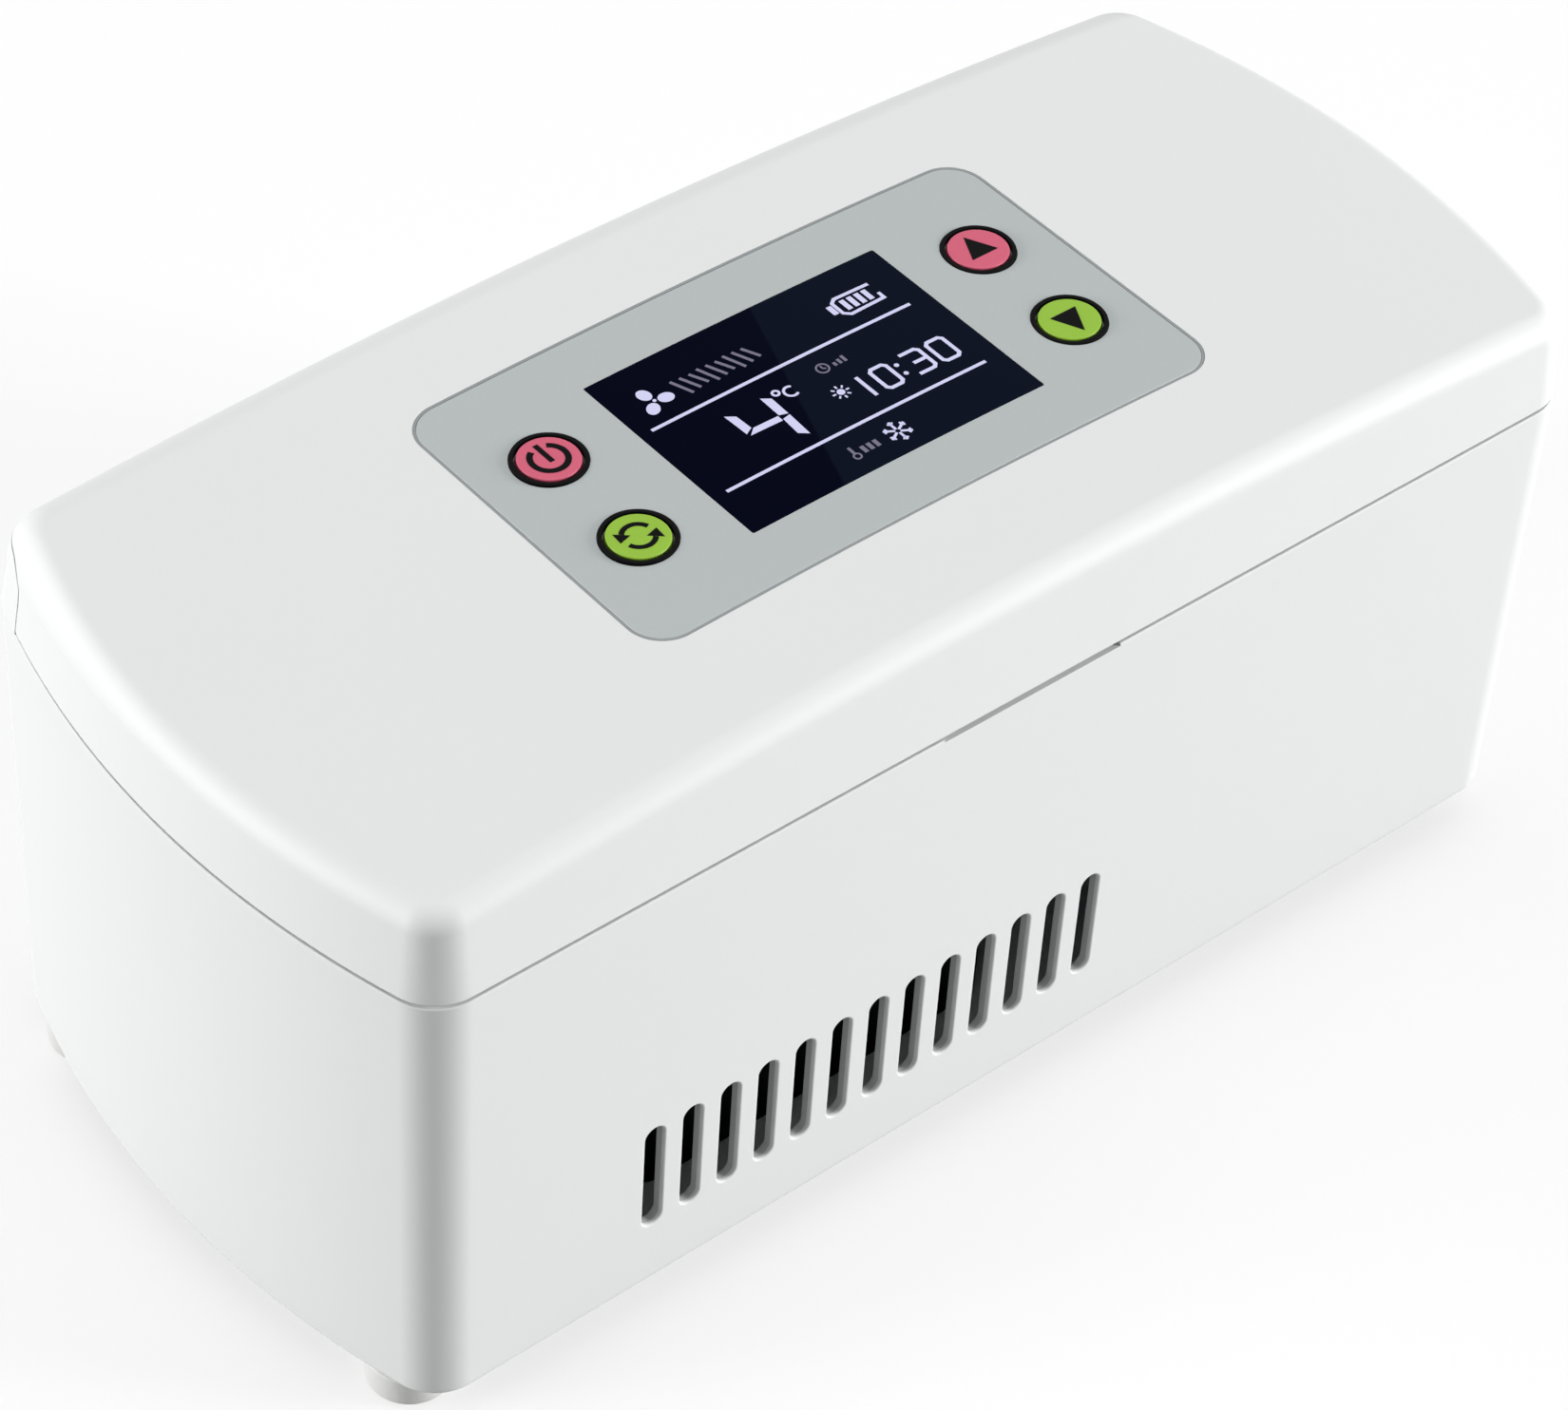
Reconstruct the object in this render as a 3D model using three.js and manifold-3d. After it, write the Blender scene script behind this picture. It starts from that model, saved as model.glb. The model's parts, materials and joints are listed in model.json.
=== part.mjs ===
// Portable insulin cooling case: a white box with bowed ends and a hinged, arched lid that carries a
// display and four keys. A thermoelectric stack behind the front vents cools an aluminium chamber.
// Millimetres, +Z up, origin on the table under the middle of the case, front towards -Y.
import * as THREE from "three";
import { mergeVertices } from "three/addons/utils/BufferGeometryUtils.js";
import Module from "manifold-3d";

const wasm = await Module();
wasm.setup();

// Case body
const LENGTH = 200;
const DEPTH = 91.5;
const END_BOW = 7.7;
const CORNER_R = 7.2;
const BASE_H = 70.9;
const WALL = 2.4;
const BASE_EDGE_R = 1.6;
const FOOT_H = 5;

// Lid
const LID_H = 17.1;
const LID_LEAN = 1;
const LID_EDGE_R = 3.4;
const LID_REAR_R = 7.3;
const LID_WALL = 2.2;
const LID_TOP_T = 2.4;
const CROWN_R = 1080;
const SEAM_GAP = 0.4;

// Clearances: FIT beside sliding or dropped-in pieces, SEAT under pieces that stand on a flat face
const FIT = 0.3;
const SEAT = 0.1;

// Hinge rib along the rear of the base
const HINGE_R = 4.7;
const HINGE_RISE = 5;
const HINGE_CLEAR = 0.4;
const RIB_ROOT = 8;
const KNUCKLE_R = 4.2;
const KNUCKLE_W = 16;
const KNUCKLE_IN = 40;
const KNUCKLE_NECK = 5;
const NOTCH_FLOOR = 0.6;
const PIN_D = 3;
const PIN_BITE = 3.6;

// Front vents and finger notch
const VENT_COUNT = 13;
const VENT_PITCH = 6;
const VENT_W = 3;
const VENT_H = 18;
const VENT_LOW = 11.3;
const VENT_X = -22.9;
const GRIP_W = 28.8;
const GRIP_H = 0.4;
const GRIP_X = -1.5;
const GRIP_IN = 1.8;

// Feet, bottom cover and its screws
const FOOT_R = 5.7;
const FOOT_EDGE_R = 0.9;
const FOOT_IN_X = 11;
const FOOT_IN_Y = 10;
const FOOT_PEG_R = 2.4;
const COVER_T = 2.4;
const COVER_RECESS = 0.2;
const INTAKE_COUNT = 9;
const INTAKE_PITCH = 6;
const INTAKE_W = 3;
const INTAKE_L = 46;
const COVER_BOSS_R = 4.6;
const COVER_BOSS_H = 18;
const COVER_BOSS_IN = 30;
const SCREW_R = 1.4;
const SCREW_L = 8;
const SCREW_HEAD_R = 2.8;
const SCREW_HEAD_T = 1.5;

// Chamber, deck and insulation
const END_ROOM = 18;
const SIDE_ROOM = 21.75;
const CHAMBER_H = 23;
const CHAMBER_R = 6;
const TRAY_T = 1.2;
const FLANGE_W = 2.8;
const FLANGE_T = 1;
const DECK_DROP = 2;
const DECK_T = 3;
const FOAM_T = 4;
const POST_R = 4.2;
const POST_BACK = 4.85;
const POST_H = 12;
const POST_ROOT = 0.8;
const SENSOR_L = 7;
const SENSOR_W = 4;
const SENSOR_T = 1.8;
const SENSOR_X = 30;

// Cooling stack
const STACK_Y = -5;
const BLOCK_W = 42;
const BLOCK_T = 5;
const PELTIER_W = 40;
const PELTIER_T = 3.8;
const SINK_L = 74;
const SINK_D = 62;
const SINK_BASE_T = 4;
const FIN_COUNT = 15;
const FIN_T = 1.2;
const FAN_W = 60;
const FAN_T = 12;
const FAN_BORE_R = 28.5;
const FAN_STRUT_W = 3;
const FAN_STRUT_T = 2;
const FAN_MOTOR_R = 12;
const FAN_HUB_R = 13;
const FAN_HUB_TOP_T = 2;
const FAN_PIN_R = 1.5;
const BLADE_COUNT = 7;
const BLADE_T = 1.2;
const BLADE_H = 8;
const BLADE_PITCH = 35;
const BLADE_TIP_GAP = 1.5;

// Battery, main board and power inlet
const CELL_COUNT = 2;
const CELL_R = 9.2;
const CELL_L = 65;
const CELL_SPACING = 19.6;
const BAY_IN = 46;
const CELL_CAP_R = 3;
const CELL_CAP_T = 0.8;
const HOLDER_T = 1.6;
const HOLDER_H = 8;
const HOLDER_END_H = 14;
const HOLDER_POST_W = 4;
const BOARD_T = 1.6;
const BOARD_LIFT = 2.4;
const BOARD_REAR_GAP = 3;
const COIL_W = 12;
const COIL_H = 6;
const COIL_LEFT = 18;
const COIL_FRONT = 14;
const CAN_R = 4;
const CAN_H = 9;
const CAN_RIGHT = 6;
const CAN_PITCH = 11;
const CHIP_W = 10;
const CHIP_H = 1.4;
const CHIP_REAR = 8;
const PLUG_L = 14;
const PLUG_D = 6;
const PLUG_BODY_H = 7;
const PLUG_REAR = 20;
const SOCKET_W = 9;
const SOCKET_H = 9;
const SOCKET_L = 13;
const SOCKET_X = 45;
const SOCKET_BORE_R = 2.8;
const SOCKET_PIN_R = 1;
const SOCKET_BORE_L = 9;

// Magnets that hold the lid shut
const MAGNET_R = 4;
const MAGNET_T = 2;
const MAGNET_IN_X = 40;
const MAGNET_IN_Y = 8.5;

// Lid lining and seal
const GASKET_T = 1;
const GASKET_W = 3;
const LINER_T = 2;
const PLUG_H = 2.2;
const PLUG_IN = 2.5;
const LID_FOAM_T = 3.4;
const LID_POST_R = 3.4;
const LID_POST_OUT_X = 4;
const LID_POST_OUT_Y = 3;

// Control panel
const PANEL_L = 91.2;
const PANEL_D = 51;
const PANEL_Y = -0.55;
const PANEL_R = 5;
const PANEL_T = 0.7;
const WINDOW_L = 47.2;
const WINDOW_D = 33.5;
const WINDOW_R = 0.6;
const WINDOW_T = 0.9;
const LCD_RIM = 1.6;
const BUTTON_X = 35;
const BUTTON_Y = 8.85;
const BUTTON_R = 4.1;
const BUTTON_PROUD = 0.3;
const BUTTON_EDGE_R = 0.4;
const BUTTON_FLANGE = 1;
const BUTTON_FLANGE_T = 1;
const BUTTON_GAP = 0.7;
const RING_W = 0.65;
const RING_PROUD = 0.15;
const SWITCH_W = 6;
const SWITCH_BODY_H = 1.7;
const SWITCH_PLUNGER_R = 1.7;
const SWITCH_PLUNGER_H = 1;
const DISPLAY_BOARD_T = 1.6;
const DISPLAY_BOARD_L = 88;
const DISPLAY_BOARD_D = 50;
const BOARD_POST_R = 3;
const BOARD_POST_IN = 3.6;

// Facets
const CORNER_STEPS = 5;
const END_STEPS = 5;
const FRONT_STEPS = 10;
const FILLET_STEPS = 3;
const SMALL_FILLET_STEPS = 2;
const RIB_STEPS = 12;
const SLOT_STEPS = 4;
const ROUND = 20;
const BOSS_ROUND = 12;
const SMALL_ROUND = 10;

// Levels and places that follow from the sizes above
const HALF_L = LENGTH / 2;
const HALF_D = DEPTH / 2;
const END_R = (HALF_D * HALF_D + END_BOW * END_BOW) / (2 * END_BOW);
const Z_BASE = FOOT_H;
const Z_SEAM = Z_BASE + BASE_H;
const Z_TOP = Z_SEAM + LID_H;
const Z_COVER = Z_BASE + COVER_RECESS;
const Z_COVER_TOP = Z_COVER + COVER_T;
const Z_DECK_TOP = Z_SEAM - DECK_DROP;
const Z_DECK = Z_DECK_TOP - DECK_T;
const Z_FLANGE = Z_DECK_TOP + SEAT;
const Z_FLANGE_TOP = Z_FLANGE + FLANGE_T;
const Z_CHAMBER = Z_FLANGE_TOP - CHAMBER_H;
const Z_TRAY = Z_CHAMBER - TRAY_T;
const Z_FOAM = Z_TRAY - FIT - FOAM_T;
const Z_BLOCK = Z_TRAY - SEAT - BLOCK_T;
const Z_PELTIER = Z_BLOCK - SEAT - PELTIER_T;
const Z_SINK_TOP = Z_PELTIER - SEAT;
const Z_FAN = Z_COVER_TOP + SEAT;
const Z_FAN_TOP = Z_FAN + FAN_T;
const Z_GASKET = Z_FLANGE_TOP + FIT;
const Z_LINER = Z_GASKET + GASKET_T + SEAT;
const Z_LINER_TOP = Z_LINER + LINER_T;
const HINGE_Y = HALF_D - HINGE_R;
const HINGE_Z = Z_SEAM + HINGE_RISE;
const RIB_FRONT = HINGE_Y - HINGE_R;
const KNUCKLE_X = HALF_L - KNUCKLE_IN;
const PIN_L = KNUCKLE_W + 2 * (FIT + PIN_BITE);
const LID_REAR = RIB_FRONT - HINGE_CLEAR - LID_WALL;
const Z_LID_RIM = Z_SEAM + SEAM_GAP / 2;
const SINK_X = VENT_X;
const FOOT_X = HALF_L - FOOT_IN_X;
const FOOT_Y = HALF_D - FOOT_IN_Y;
const COVER_BOSS_X = HALF_L - COVER_BOSS_IN;
const CELL_X = HALF_L - BAY_IN;
const CHAMBER_L = LENGTH - 2 * END_ROOM;
const CHAMBER_D = DEPTH - 2 * SIDE_ROOM;
const TRAY_L = CHAMBER_L + 2 * TRAY_T;
const TRAY_D = CHAMBER_D + 2 * TRAY_T;
const LID_POST_X = CHAMBER_L / 2 + LID_POST_OUT_X;
const LID_POST_Y = CHAMBER_D / 2 + LID_POST_OUT_Y;
const END_WALL_R = END_R - WALL;
const POST_Y = RIB_FRONT - POST_BACK;
const END_WALL_X = HALF_L - END_R + Math.sqrt(END_WALL_R * END_WALL_R - POST_Y * POST_Y);
const POST_X = END_WALL_X - POST_R + POST_ROOT;
const MAGNET_X = HALF_L - MAGNET_IN_X;
const MAGNET_Y = MAGNET_IN_Y - HALF_D;
const COVER_BOSS_Y = HALF_D - WALL - COVER_BOSS_R + FIT;
const BUTTON_HOLE_R = BUTTON_R + FIT;

const crown = (x) => Z_TOP - CROWN_R + Math.sqrt(CROWN_R * CROWN_R - x * x);

const Z_BUTTON_FLANGE_TOP = crown(BUTTON_X + BUTTON_R + BUTTON_FLANGE) - LID_TOP_T - FIT;
const Z_BUTTON = Z_BUTTON_FLANGE_TOP - BUTTON_FLANGE_T;
const Z_SWITCH = Z_BUTTON - BUTTON_GAP - SWITCH_PLUNGER_H - SWITCH_BODY_H;
const Z_DISPLAY_BOARD_TOP = Z_SWITCH - SEAT;
const Z_DISPLAY_BOARD = Z_DISPLAY_BOARD_TOP - DISPLAY_BOARD_T;

const plastic = (color) => new THREE.MeshStandardMaterial({ color, roughness: 0.4, metalness: 0 });
const metal = (color) => new THREE.MeshStandardMaterial({ color, roughness: 0.35, metalness: 1 });
const WHITE_ABS = plastic(0xe9e9e9);
const GREY_FILM = plastic(0xb2b8b8);
const DARK_LENS = plastic(0x0a0f20);
const RED_KEY = plastic(0xe0607a);
const GREEN_KEY = plastic(0x8cc828);
const BLACK_ABS = plastic(0x17181a);
const WHITE_RUBBER = plastic(0xe4e4e2);
const GREY_SILICONE = plastic(0x8f9496);
const FOAM = plastic(0xf2f1ec);
const CERAMIC = plastic(0xf4f3ef);
const CELL_WRAP = plastic(0x2f6fb0);
const CIRCUIT_GREEN = plastic(0x1e5a3a);
const ALUMINIUM = metal(0xc9ccce);
const STEEL = metal(0xa9acae);

// Solids from three.js geometry, joined and cut
function solid(geometry) {
  const bare = geometry.clone();
  bare.deleteAttribute("normal");
  bare.deleteAttribute("uv");
  const merged = mergeVertices(bare, 1e-4);
  return new wasm.Manifold(
    new wasm.Mesh({
      numProp: 3,
      vertProperties: new Float32Array(merged.attributes.position.array),
      triVerts: new Uint32Array(merged.index.array),
    }),
  );
}

const join = (first, ...others) => others.reduce((whole, piece) => whole.add(piece), first);
const cut = (first, ...others) => others.reduce((whole, piece) => whole.subtract(piece), first);

function geometryOf(shape) {
  const mesh = shape.getMesh();
  const geometry = new THREE.BufferGeometry();
  geometry.setAttribute("position", new THREE.BufferAttribute(mesh.vertProperties, 3));
  geometry.setIndex(new THREE.BufferAttribute(mesh.triVerts, 1));
  geometry.computeVertexNormals();
  return geometry;
}

function box([x0, x1], [y0, y1], [z0, z1]) {
  const geometry = new THREE.BoxGeometry(x1 - x0, y1 - y0, z1 - z0);
  return solid(geometry.translate((x0 + x1) / 2, (y0 + y1) / 2, (z0 + z1) / 2));
}

const span = (middle, width) => [middle - width / 2, middle + width / 2];

function rod(x, y, [z0, z1], radius, sides = ROUND) {
  const geometry = new THREE.CylinderGeometry(radius, radius, z1 - z0, sides);
  return solid(geometry.rotateX(Math.PI / 2).translate(x, y, (z0 + z1) / 2));
}

function rodAlongX([x0, x1], y, z, radius, sides = ROUND) {
  const geometry = new THREE.CylinderGeometry(radius, radius, x1 - x0, sides);
  return solid(geometry.rotateZ(Math.PI / 2).translate((x0 + x1) / 2, y, z));
}

function rodAlongY(x, [y0, y1], z, radius, sides = ROUND) {
  const geometry = new THREE.CylinderGeometry(radius, radius, y1 - y0, sides);
  return solid(geometry.translate(x, (y0 + y1) / 2, z));
}

function prism(shape, [z0, z1]) {
  const geometry = new THREE.ExtrudeGeometry(shape, {
    depth: z1 - z0,
    bevelEnabled: false,
    curveSegments: CORNER_STEPS,
  });
  return solid(geometry.translate(0, 0, z0));
}

// A profile drawn in Y and Z, carried along X
function alongX(shape, [x0, x1]) {
  const geometry = new THREE.ExtrudeGeometry(shape, {
    depth: x1 - x0,
    bevelEnabled: false,
    curveSegments: RIB_STEPS,
  });
  const axes = new THREE.Matrix4().makeBasis(
    new THREE.Vector3(0, 1, 0),
    new THREE.Vector3(0, 0, 1),
    new THREE.Vector3(1, 0, 0),
  );
  return solid(geometry.applyMatrix4(axes).translate(x0, 0, 0));
}

// A profile drawn in X and Z, carried along Y
function alongY(shape, [y0, y1]) {
  const geometry = new THREE.ExtrudeGeometry(shape, {
    depth: y1 - y0,
    bevelEnabled: false,
    curveSegments: SLOT_STEPS,
  });
  return solid(geometry.rotateX(Math.PI / 2).translate(0, y1, 0));
}

// A turned piece: radius and height pairs from the axis at the bottom to the axis at the top
function turned(profile, sides = ROUND) {
  const points = profile.map(([radius, height]) => new THREE.Vector2(radius, height));
  return solid(new THREE.LatheGeometry(points, sides).rotateX(Math.PI / 2));
}

function roundedRectangle(length, depth, radius) {
  const x = length / 2;
  const y = depth / 2;
  const shape = new THREE.Shape();
  shape.moveTo(x - radius, -y);
  shape.absarc(x - radius, radius - y, radius, -Math.PI / 2, 0);
  shape.absarc(x - radius, y - radius, radius, 0, Math.PI / 2);
  shape.absarc(radius - x, y - radius, radius, Math.PI / 2, Math.PI);
  shape.absarc(radius - x, radius - y, radius, Math.PI, 1.5 * Math.PI);
  return shape;
}

// Points on an arc, ends included
function arcPoints(cx, cy, radius, from, to, steps) {
  return Array.from({ length: steps + 1 }, (_, i) => {
    const angle = from + ((to - from) * i) / steps;
    return new THREE.Vector2(cx + radius * Math.cos(angle), cy + radius * Math.sin(angle));
  });
}

// Front half of the plan outline, from the middle of the left end to the middle of the right end:
// a straight front, rounded corners and bowed ends, all drawn in by the inset
function frontHalf(inset) {
  const endX = HALF_L - END_R;
  const cornerY = HALF_D - CORNER_R;
  const reach = END_R - CORNER_R;
  const cornerX = endX + Math.sqrt(reach * reach - cornerY * cornerY);
  const turn = Math.asin(cornerY / reach);
  const corner = arcPoints(cornerX, -cornerY, CORNER_R - inset, -Math.PI / 2, -turn, CORNER_STEPS);
  const end = arcPoints(endX, 0, END_R - inset, -turn, 0, END_STEPS).slice(1);
  const right = [...corner, ...end];
  const left = right.map((p) => new THREE.Vector2(-p.x, p.y)).reverse();
  const front = Array.from({ length: FRONT_STEPS - 1 }, (_, i) => {
    const x = cornerX * ((2 * (i + 1)) / FRONT_STEPS - 1);
    return new THREE.Vector2(x, inset - HALF_D);
  });
  return [...left, ...front, ...right];
}

// How far towards the rear a place lies: 0 in the front half, then up to 1 at the rear face
const rearShare = (y) => Math.max(0, y / HALF_D);

// A body of the plan outline through rings of an inset and a height, which may depend on x and y.
// A ring's third number draws its rear in further, by less and less towards the middle.
function loft(rings) {
  const positions = [];
  const index = [];
  let half = 0;
  for (const [inset, height, rearIn = 0] of rings) {
    const points = frontHalf(inset);
    half = points.length;
    const rear = points.slice(1, -1).reverse();
    const loop = [...points, ...rear.map((p) => new THREE.Vector2(p.x, -p.y))];
    loop.forEach(({ x, y }) => {
      const z = typeof height === "number" ? height : height(x, y);
      positions.push(x, y - rearIn * rearShare(y), z);
    });
  }
  const count = 2 * half - 2;
  const last = count * (rings.length - 1);
  for (let ring = 0; ring < rings.length - 1; ring++) {
    for (let i = 0; i < count; i++) {
      const a = ring * count + i;
      const b = ring * count + ((i + 1) % count);
      index.push(a, b, b + count, a, b + count, a + count);
    }
  }
  const quad = (a, b, c, d) => {
    if (b !== c) index.push(a, b, c);
    if (a !== d) index.push(a, c, d);
  };
  for (let i = 0; i < half - 1; i++) {
    const rear = (count - i) % count;
    const next = i + 1 === half - 1 ? i + 1 : count - i - 1;
    quad(last + i, last + i + 1, last + next, last + rear);
    quad(rear, next, i + 1, i);
  }
  const geometry = new THREE.BufferGeometry();
  geometry.setAttribute("position", new THREE.BufferAttribute(new Float32Array(positions), 3));
  geometry.setIndex(index);
  return solid(geometry);
}

const plate = (inset, [z0, z1]) => loft([[inset, z0], [inset, z1]]);

// The outer form of the lid on given lower rings: sides that lean in, and a rounded top edge that grows
// towards the rear
function lidForm(lowRings) {
  const rounds = Array.from({ length: FILLET_STEPS + 1 }, (_, i) => {
    const angle = (Math.PI / 2) * (i / FILLET_STEPS);
    const inset = LID_LEAN + LID_EDGE_R * (1 - Math.cos(angle));
    const edgeR = (y) => LID_EDGE_R + (LID_REAR_R - LID_EDGE_R) * rearShare(y);
    const height = (x, y) => crown(x) - edgeR(y) * (1 - Math.sin(angle));
    return [inset, height, (LID_REAR_R - LID_EDGE_R) * (1 - Math.cos(angle))];
  });
  return loft([...lowRings, ...rounds]);
}

// The arched layer between two depths under the lid's top surface
function crownLayer(upper, lower) {
  const steps = FRONT_STEPS;
  const xs = Array.from({ length: steps + 1 }, (_, i) => HALF_L * ((2 * i) / steps - 1));
  const shape = new THREE.Shape([
    ...xs.map((x) => new THREE.Vector2(x, crown(x) - lower)),
    ...xs.reverse().map((x) => new THREE.Vector2(x, crown(x) - upper)),
  ]);
  return alongY(shape, [-HALF_D, HALF_D]);
}

// Part of the arched layer inside a rounded rectangle
function crownTile(length, depth, radius, upper, lower) {
  const column = prism(roundedRectangle(length, depth, radius), [Z_SEAM, Z_TOP + LID_H]);
  return crownLayer(upper, lower).intersect(column);
}

const fourCorners = (x, y) => [[-x, -y], [x, -y], [x, y], [-x, y]];

// Base
function ribProfile() {
  const shape = new THREE.Shape();
  shape.moveTo(RIB_FRONT, Z_SEAM - RIB_ROOT);
  shape.lineTo(HALF_D, Z_SEAM - RIB_ROOT);
  shape.lineTo(HALF_D, HINGE_Z);
  shape.absarc(HINGE_Y, HINGE_Z, HINGE_R, 0, Math.PI);
  shape.lineTo(RIB_FRONT, Z_SEAM - RIB_ROOT);
  return shape;
}

function ventSlot(index) {
  const x = VENT_X + (index - (VENT_COUNT - 1) / 2) * VENT_PITCH;
  const low = Z_BASE + VENT_LOW + VENT_W / 2;
  const high = low + VENT_H - VENT_W;
  const slot = new THREE.Shape();
  slot.absarc(x, low, VENT_W / 2, Math.PI, 2 * Math.PI);
  slot.absarc(x, high, VENT_W / 2, 0, Math.PI);
  return alongY(slot, [-HALF_D - WALL, -HALF_D + 2 * WALL]);
}

// Bore for the pin that a knuckle turns on
function pinBore(side) {
  return rodAlongX(span(side * KNUCKLE_X, PIN_L), HINGE_Y, HINGE_Z, PIN_D / 2 + FIT, SMALL_ROUND);
}

function baseShell() {
  const rimZ = Z_SEAM - SEAM_GAP / 2;
  const rounds = Array.from({ length: SMALL_FILLET_STEPS + 1 }, (_, i) => {
    const angle = (Math.PI / 2) * (i / SMALL_FILLET_STEPS);
    return [BASE_EDGE_R * (1 - Math.sin(angle)), Z_BASE + BASE_EDGE_R * (1 - Math.cos(angle))];
  });
  const outer = loft([...rounds, [0, rimZ]]);
  const hollow = plate(WALL, [Z_BASE - WALL, Z_SEAM + WALL]);
  const rearForm = lidForm([[0, Z_SEAM - RIB_ROOT], [0, Z_LID_RIM]]);
  const rib = rearForm.intersect(alongX(ribProfile(), [-HALF_L, HALF_L]));
  const inside = plate(WALL / 2, [Z_BASE, Z_SEAM]);
  const bossLow = Z_COVER_TOP + SEAT;
  const bosses = fourCorners(COVER_BOSS_X, COVER_BOSS_Y).map(([x, y]) =>
    rod(x, y, [bossLow, bossLow + COVER_BOSS_H], COVER_BOSS_R, BOSS_ROUND),
  );
  const postTop = Z_DECK - SEAT;
  const posts = fourCorners(POST_X, POST_Y).map(([x, y]) =>
    rod(x, y, [postTop - POST_H, postTop], POST_R, BOSS_ROUND).intersect(inside),
  );
  const walls = join(cut(outer, hollow), rib, ...bosses, ...posts);
  const vents = Array.from({ length: VENT_COUNT }, (_, i) => ventSlot(i));
  const grip = box(
    span(GRIP_X, GRIP_W),
    [-HALF_D - WALL, -HALF_D + GRIP_IN],
    [rimZ - GRIP_H, Z_SEAM + GRIP_H],
  );
  const socketHole = box(
    span(SOCKET_X, SOCKET_W + 2 * FIT),
    [HALF_D - 2 * WALL, HALF_D + WALL],
    span(socketZ(), SOCKET_H + 2 * FIT),
  );
  const bossHoles = fourCorners(COVER_BOSS_X, COVER_BOSS_Y).map(([x, y]) =>
    rod(x, y, [bossLow - SEAT, bossLow + SCREW_L], SCREW_R + SEAT, SMALL_ROUND),
  );
  const postHoles = fourCorners(POST_X, POST_Y).map(([x, y]) =>
    rod(x, y, [postTop - SCREW_L, postTop + SEAT], SCREW_R + SEAT, SMALL_ROUND),
  );
  const hinge = [-1, 1].flatMap((side) => [
    box(
      span(side * KNUCKLE_X, KNUCKLE_W + 2 * FIT),
      [RIB_FRONT - WALL, HALF_D + WALL],
      [HINGE_Z - KNUCKLE_R - NOTCH_FLOOR, Z_TOP],
    ),
    pinBore(side),
  ]);
  return cut(walls, ...vents, grip, socketHole, ...bossHoles, ...postHoles, ...hinge);
}

function bottomCover() {
  const sheet = plate(WALL + FIT, [Z_COVER, Z_COVER_TOP]);
  const through = [Z_COVER - SEAT, Z_COVER_TOP + SEAT];
  const pegs = fourCorners(FOOT_X, FOOT_Y).map(([x, y]) =>
    rod(x, y, through, FOOT_PEG_R + SEAT),
  );
  const screws = fourCorners(COVER_BOSS_X, COVER_BOSS_Y).flatMap(([x, y]) => [
    rod(x, y, through, SCREW_R + SEAT, SMALL_ROUND),
    rod(x, y, [Z_COVER - SEAT, Z_COVER + SCREW_HEAD_T + SEAT], SCREW_HEAD_R + SEAT),
  ]);
  const slots = Array.from({ length: INTAKE_COUNT }, (_, i) => {
    const x = SINK_X + (i - (INTAKE_COUNT - 1) / 2) * INTAKE_PITCH;
    return box(span(x, INTAKE_W), span(STACK_Y, INTAKE_L), through);
  });
  return cut(sheet, ...pegs, ...screws, ...slots);
}

function foot() {
  const top = Z_BASE - SEAT;
  const pegTop = Z_COVER_TOP - SEAT;
  const edge = arcPoints(
    FOOT_R - FOOT_EDGE_R, FOOT_EDGE_R, FOOT_EDGE_R, -Math.PI / 2, 0, SMALL_FILLET_STEPS,
  );
  return turned([
    [0, 0],
    ...edge.map((p) => [p.x, p.y]),
    [FOOT_R, top],
    [FOOT_PEG_R, top],
    [FOOT_PEG_R, pegTop],
    [0, pegTop],
  ]);
}

// Pan-head screw standing head down, head underside at zero
function screw() {
  return turned(
    [
      [0, -SCREW_HEAD_T],
      [SCREW_HEAD_R, -SCREW_HEAD_T],
      [SCREW_HEAD_R, 0],
      [SCREW_R, 0],
      [SCREW_R, SCREW_L],
      [0, SCREW_L],
    ],
    SMALL_ROUND,
  );
}

function innerDeck() {
  const sheet = plate(WALL + FIT, [Z_DECK, Z_DECK_TOP]);
  const rear = box([-LENGTH, LENGTH], [RIB_FRONT - FIT, DEPTH], [Z_DECK - WALL, Z_TOP]);
  const opening = prism(
    roundedRectangle(TRAY_L + 2 * FIT, TRAY_D + 2 * FIT, CHAMBER_R + TRAY_T + FIT),
    [Z_DECK - WALL, Z_TOP],
  );
  const screws = fourCorners(POST_X, POST_Y).map(([x, y]) =>
    rod(x, y, [Z_DECK - SEAT, Z_TOP], SCREW_R + SEAT, SMALL_ROUND),
  );
  const magnets = [-1, 1].map((side) =>
    rod(side * MAGNET_X, MAGNET_Y, [Z_DECK_TOP - MAGNET_T - SEAT, Z_TOP], MAGNET_R + SEAT),
  );
  return cut(sheet, rear, opening, ...screws, ...magnets);
}

function coldTray() {
  const flange = prism(
    roundedRectangle(TRAY_L + 2 * FLANGE_W, TRAY_D + 2 * FLANGE_W, CHAMBER_R + TRAY_T + FLANGE_W),
    [Z_FLANGE, Z_FLANGE_TOP],
  );
  const tub = prism(roundedRectangle(TRAY_L, TRAY_D, CHAMBER_R + TRAY_T), [Z_TRAY, Z_FLANGE_TOP]);
  const room = prism(roundedRectangle(CHAMBER_L, CHAMBER_D, CHAMBER_R), [Z_CHAMBER, Z_TOP]);
  return cut(join(flange, tub), room);
}

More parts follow.
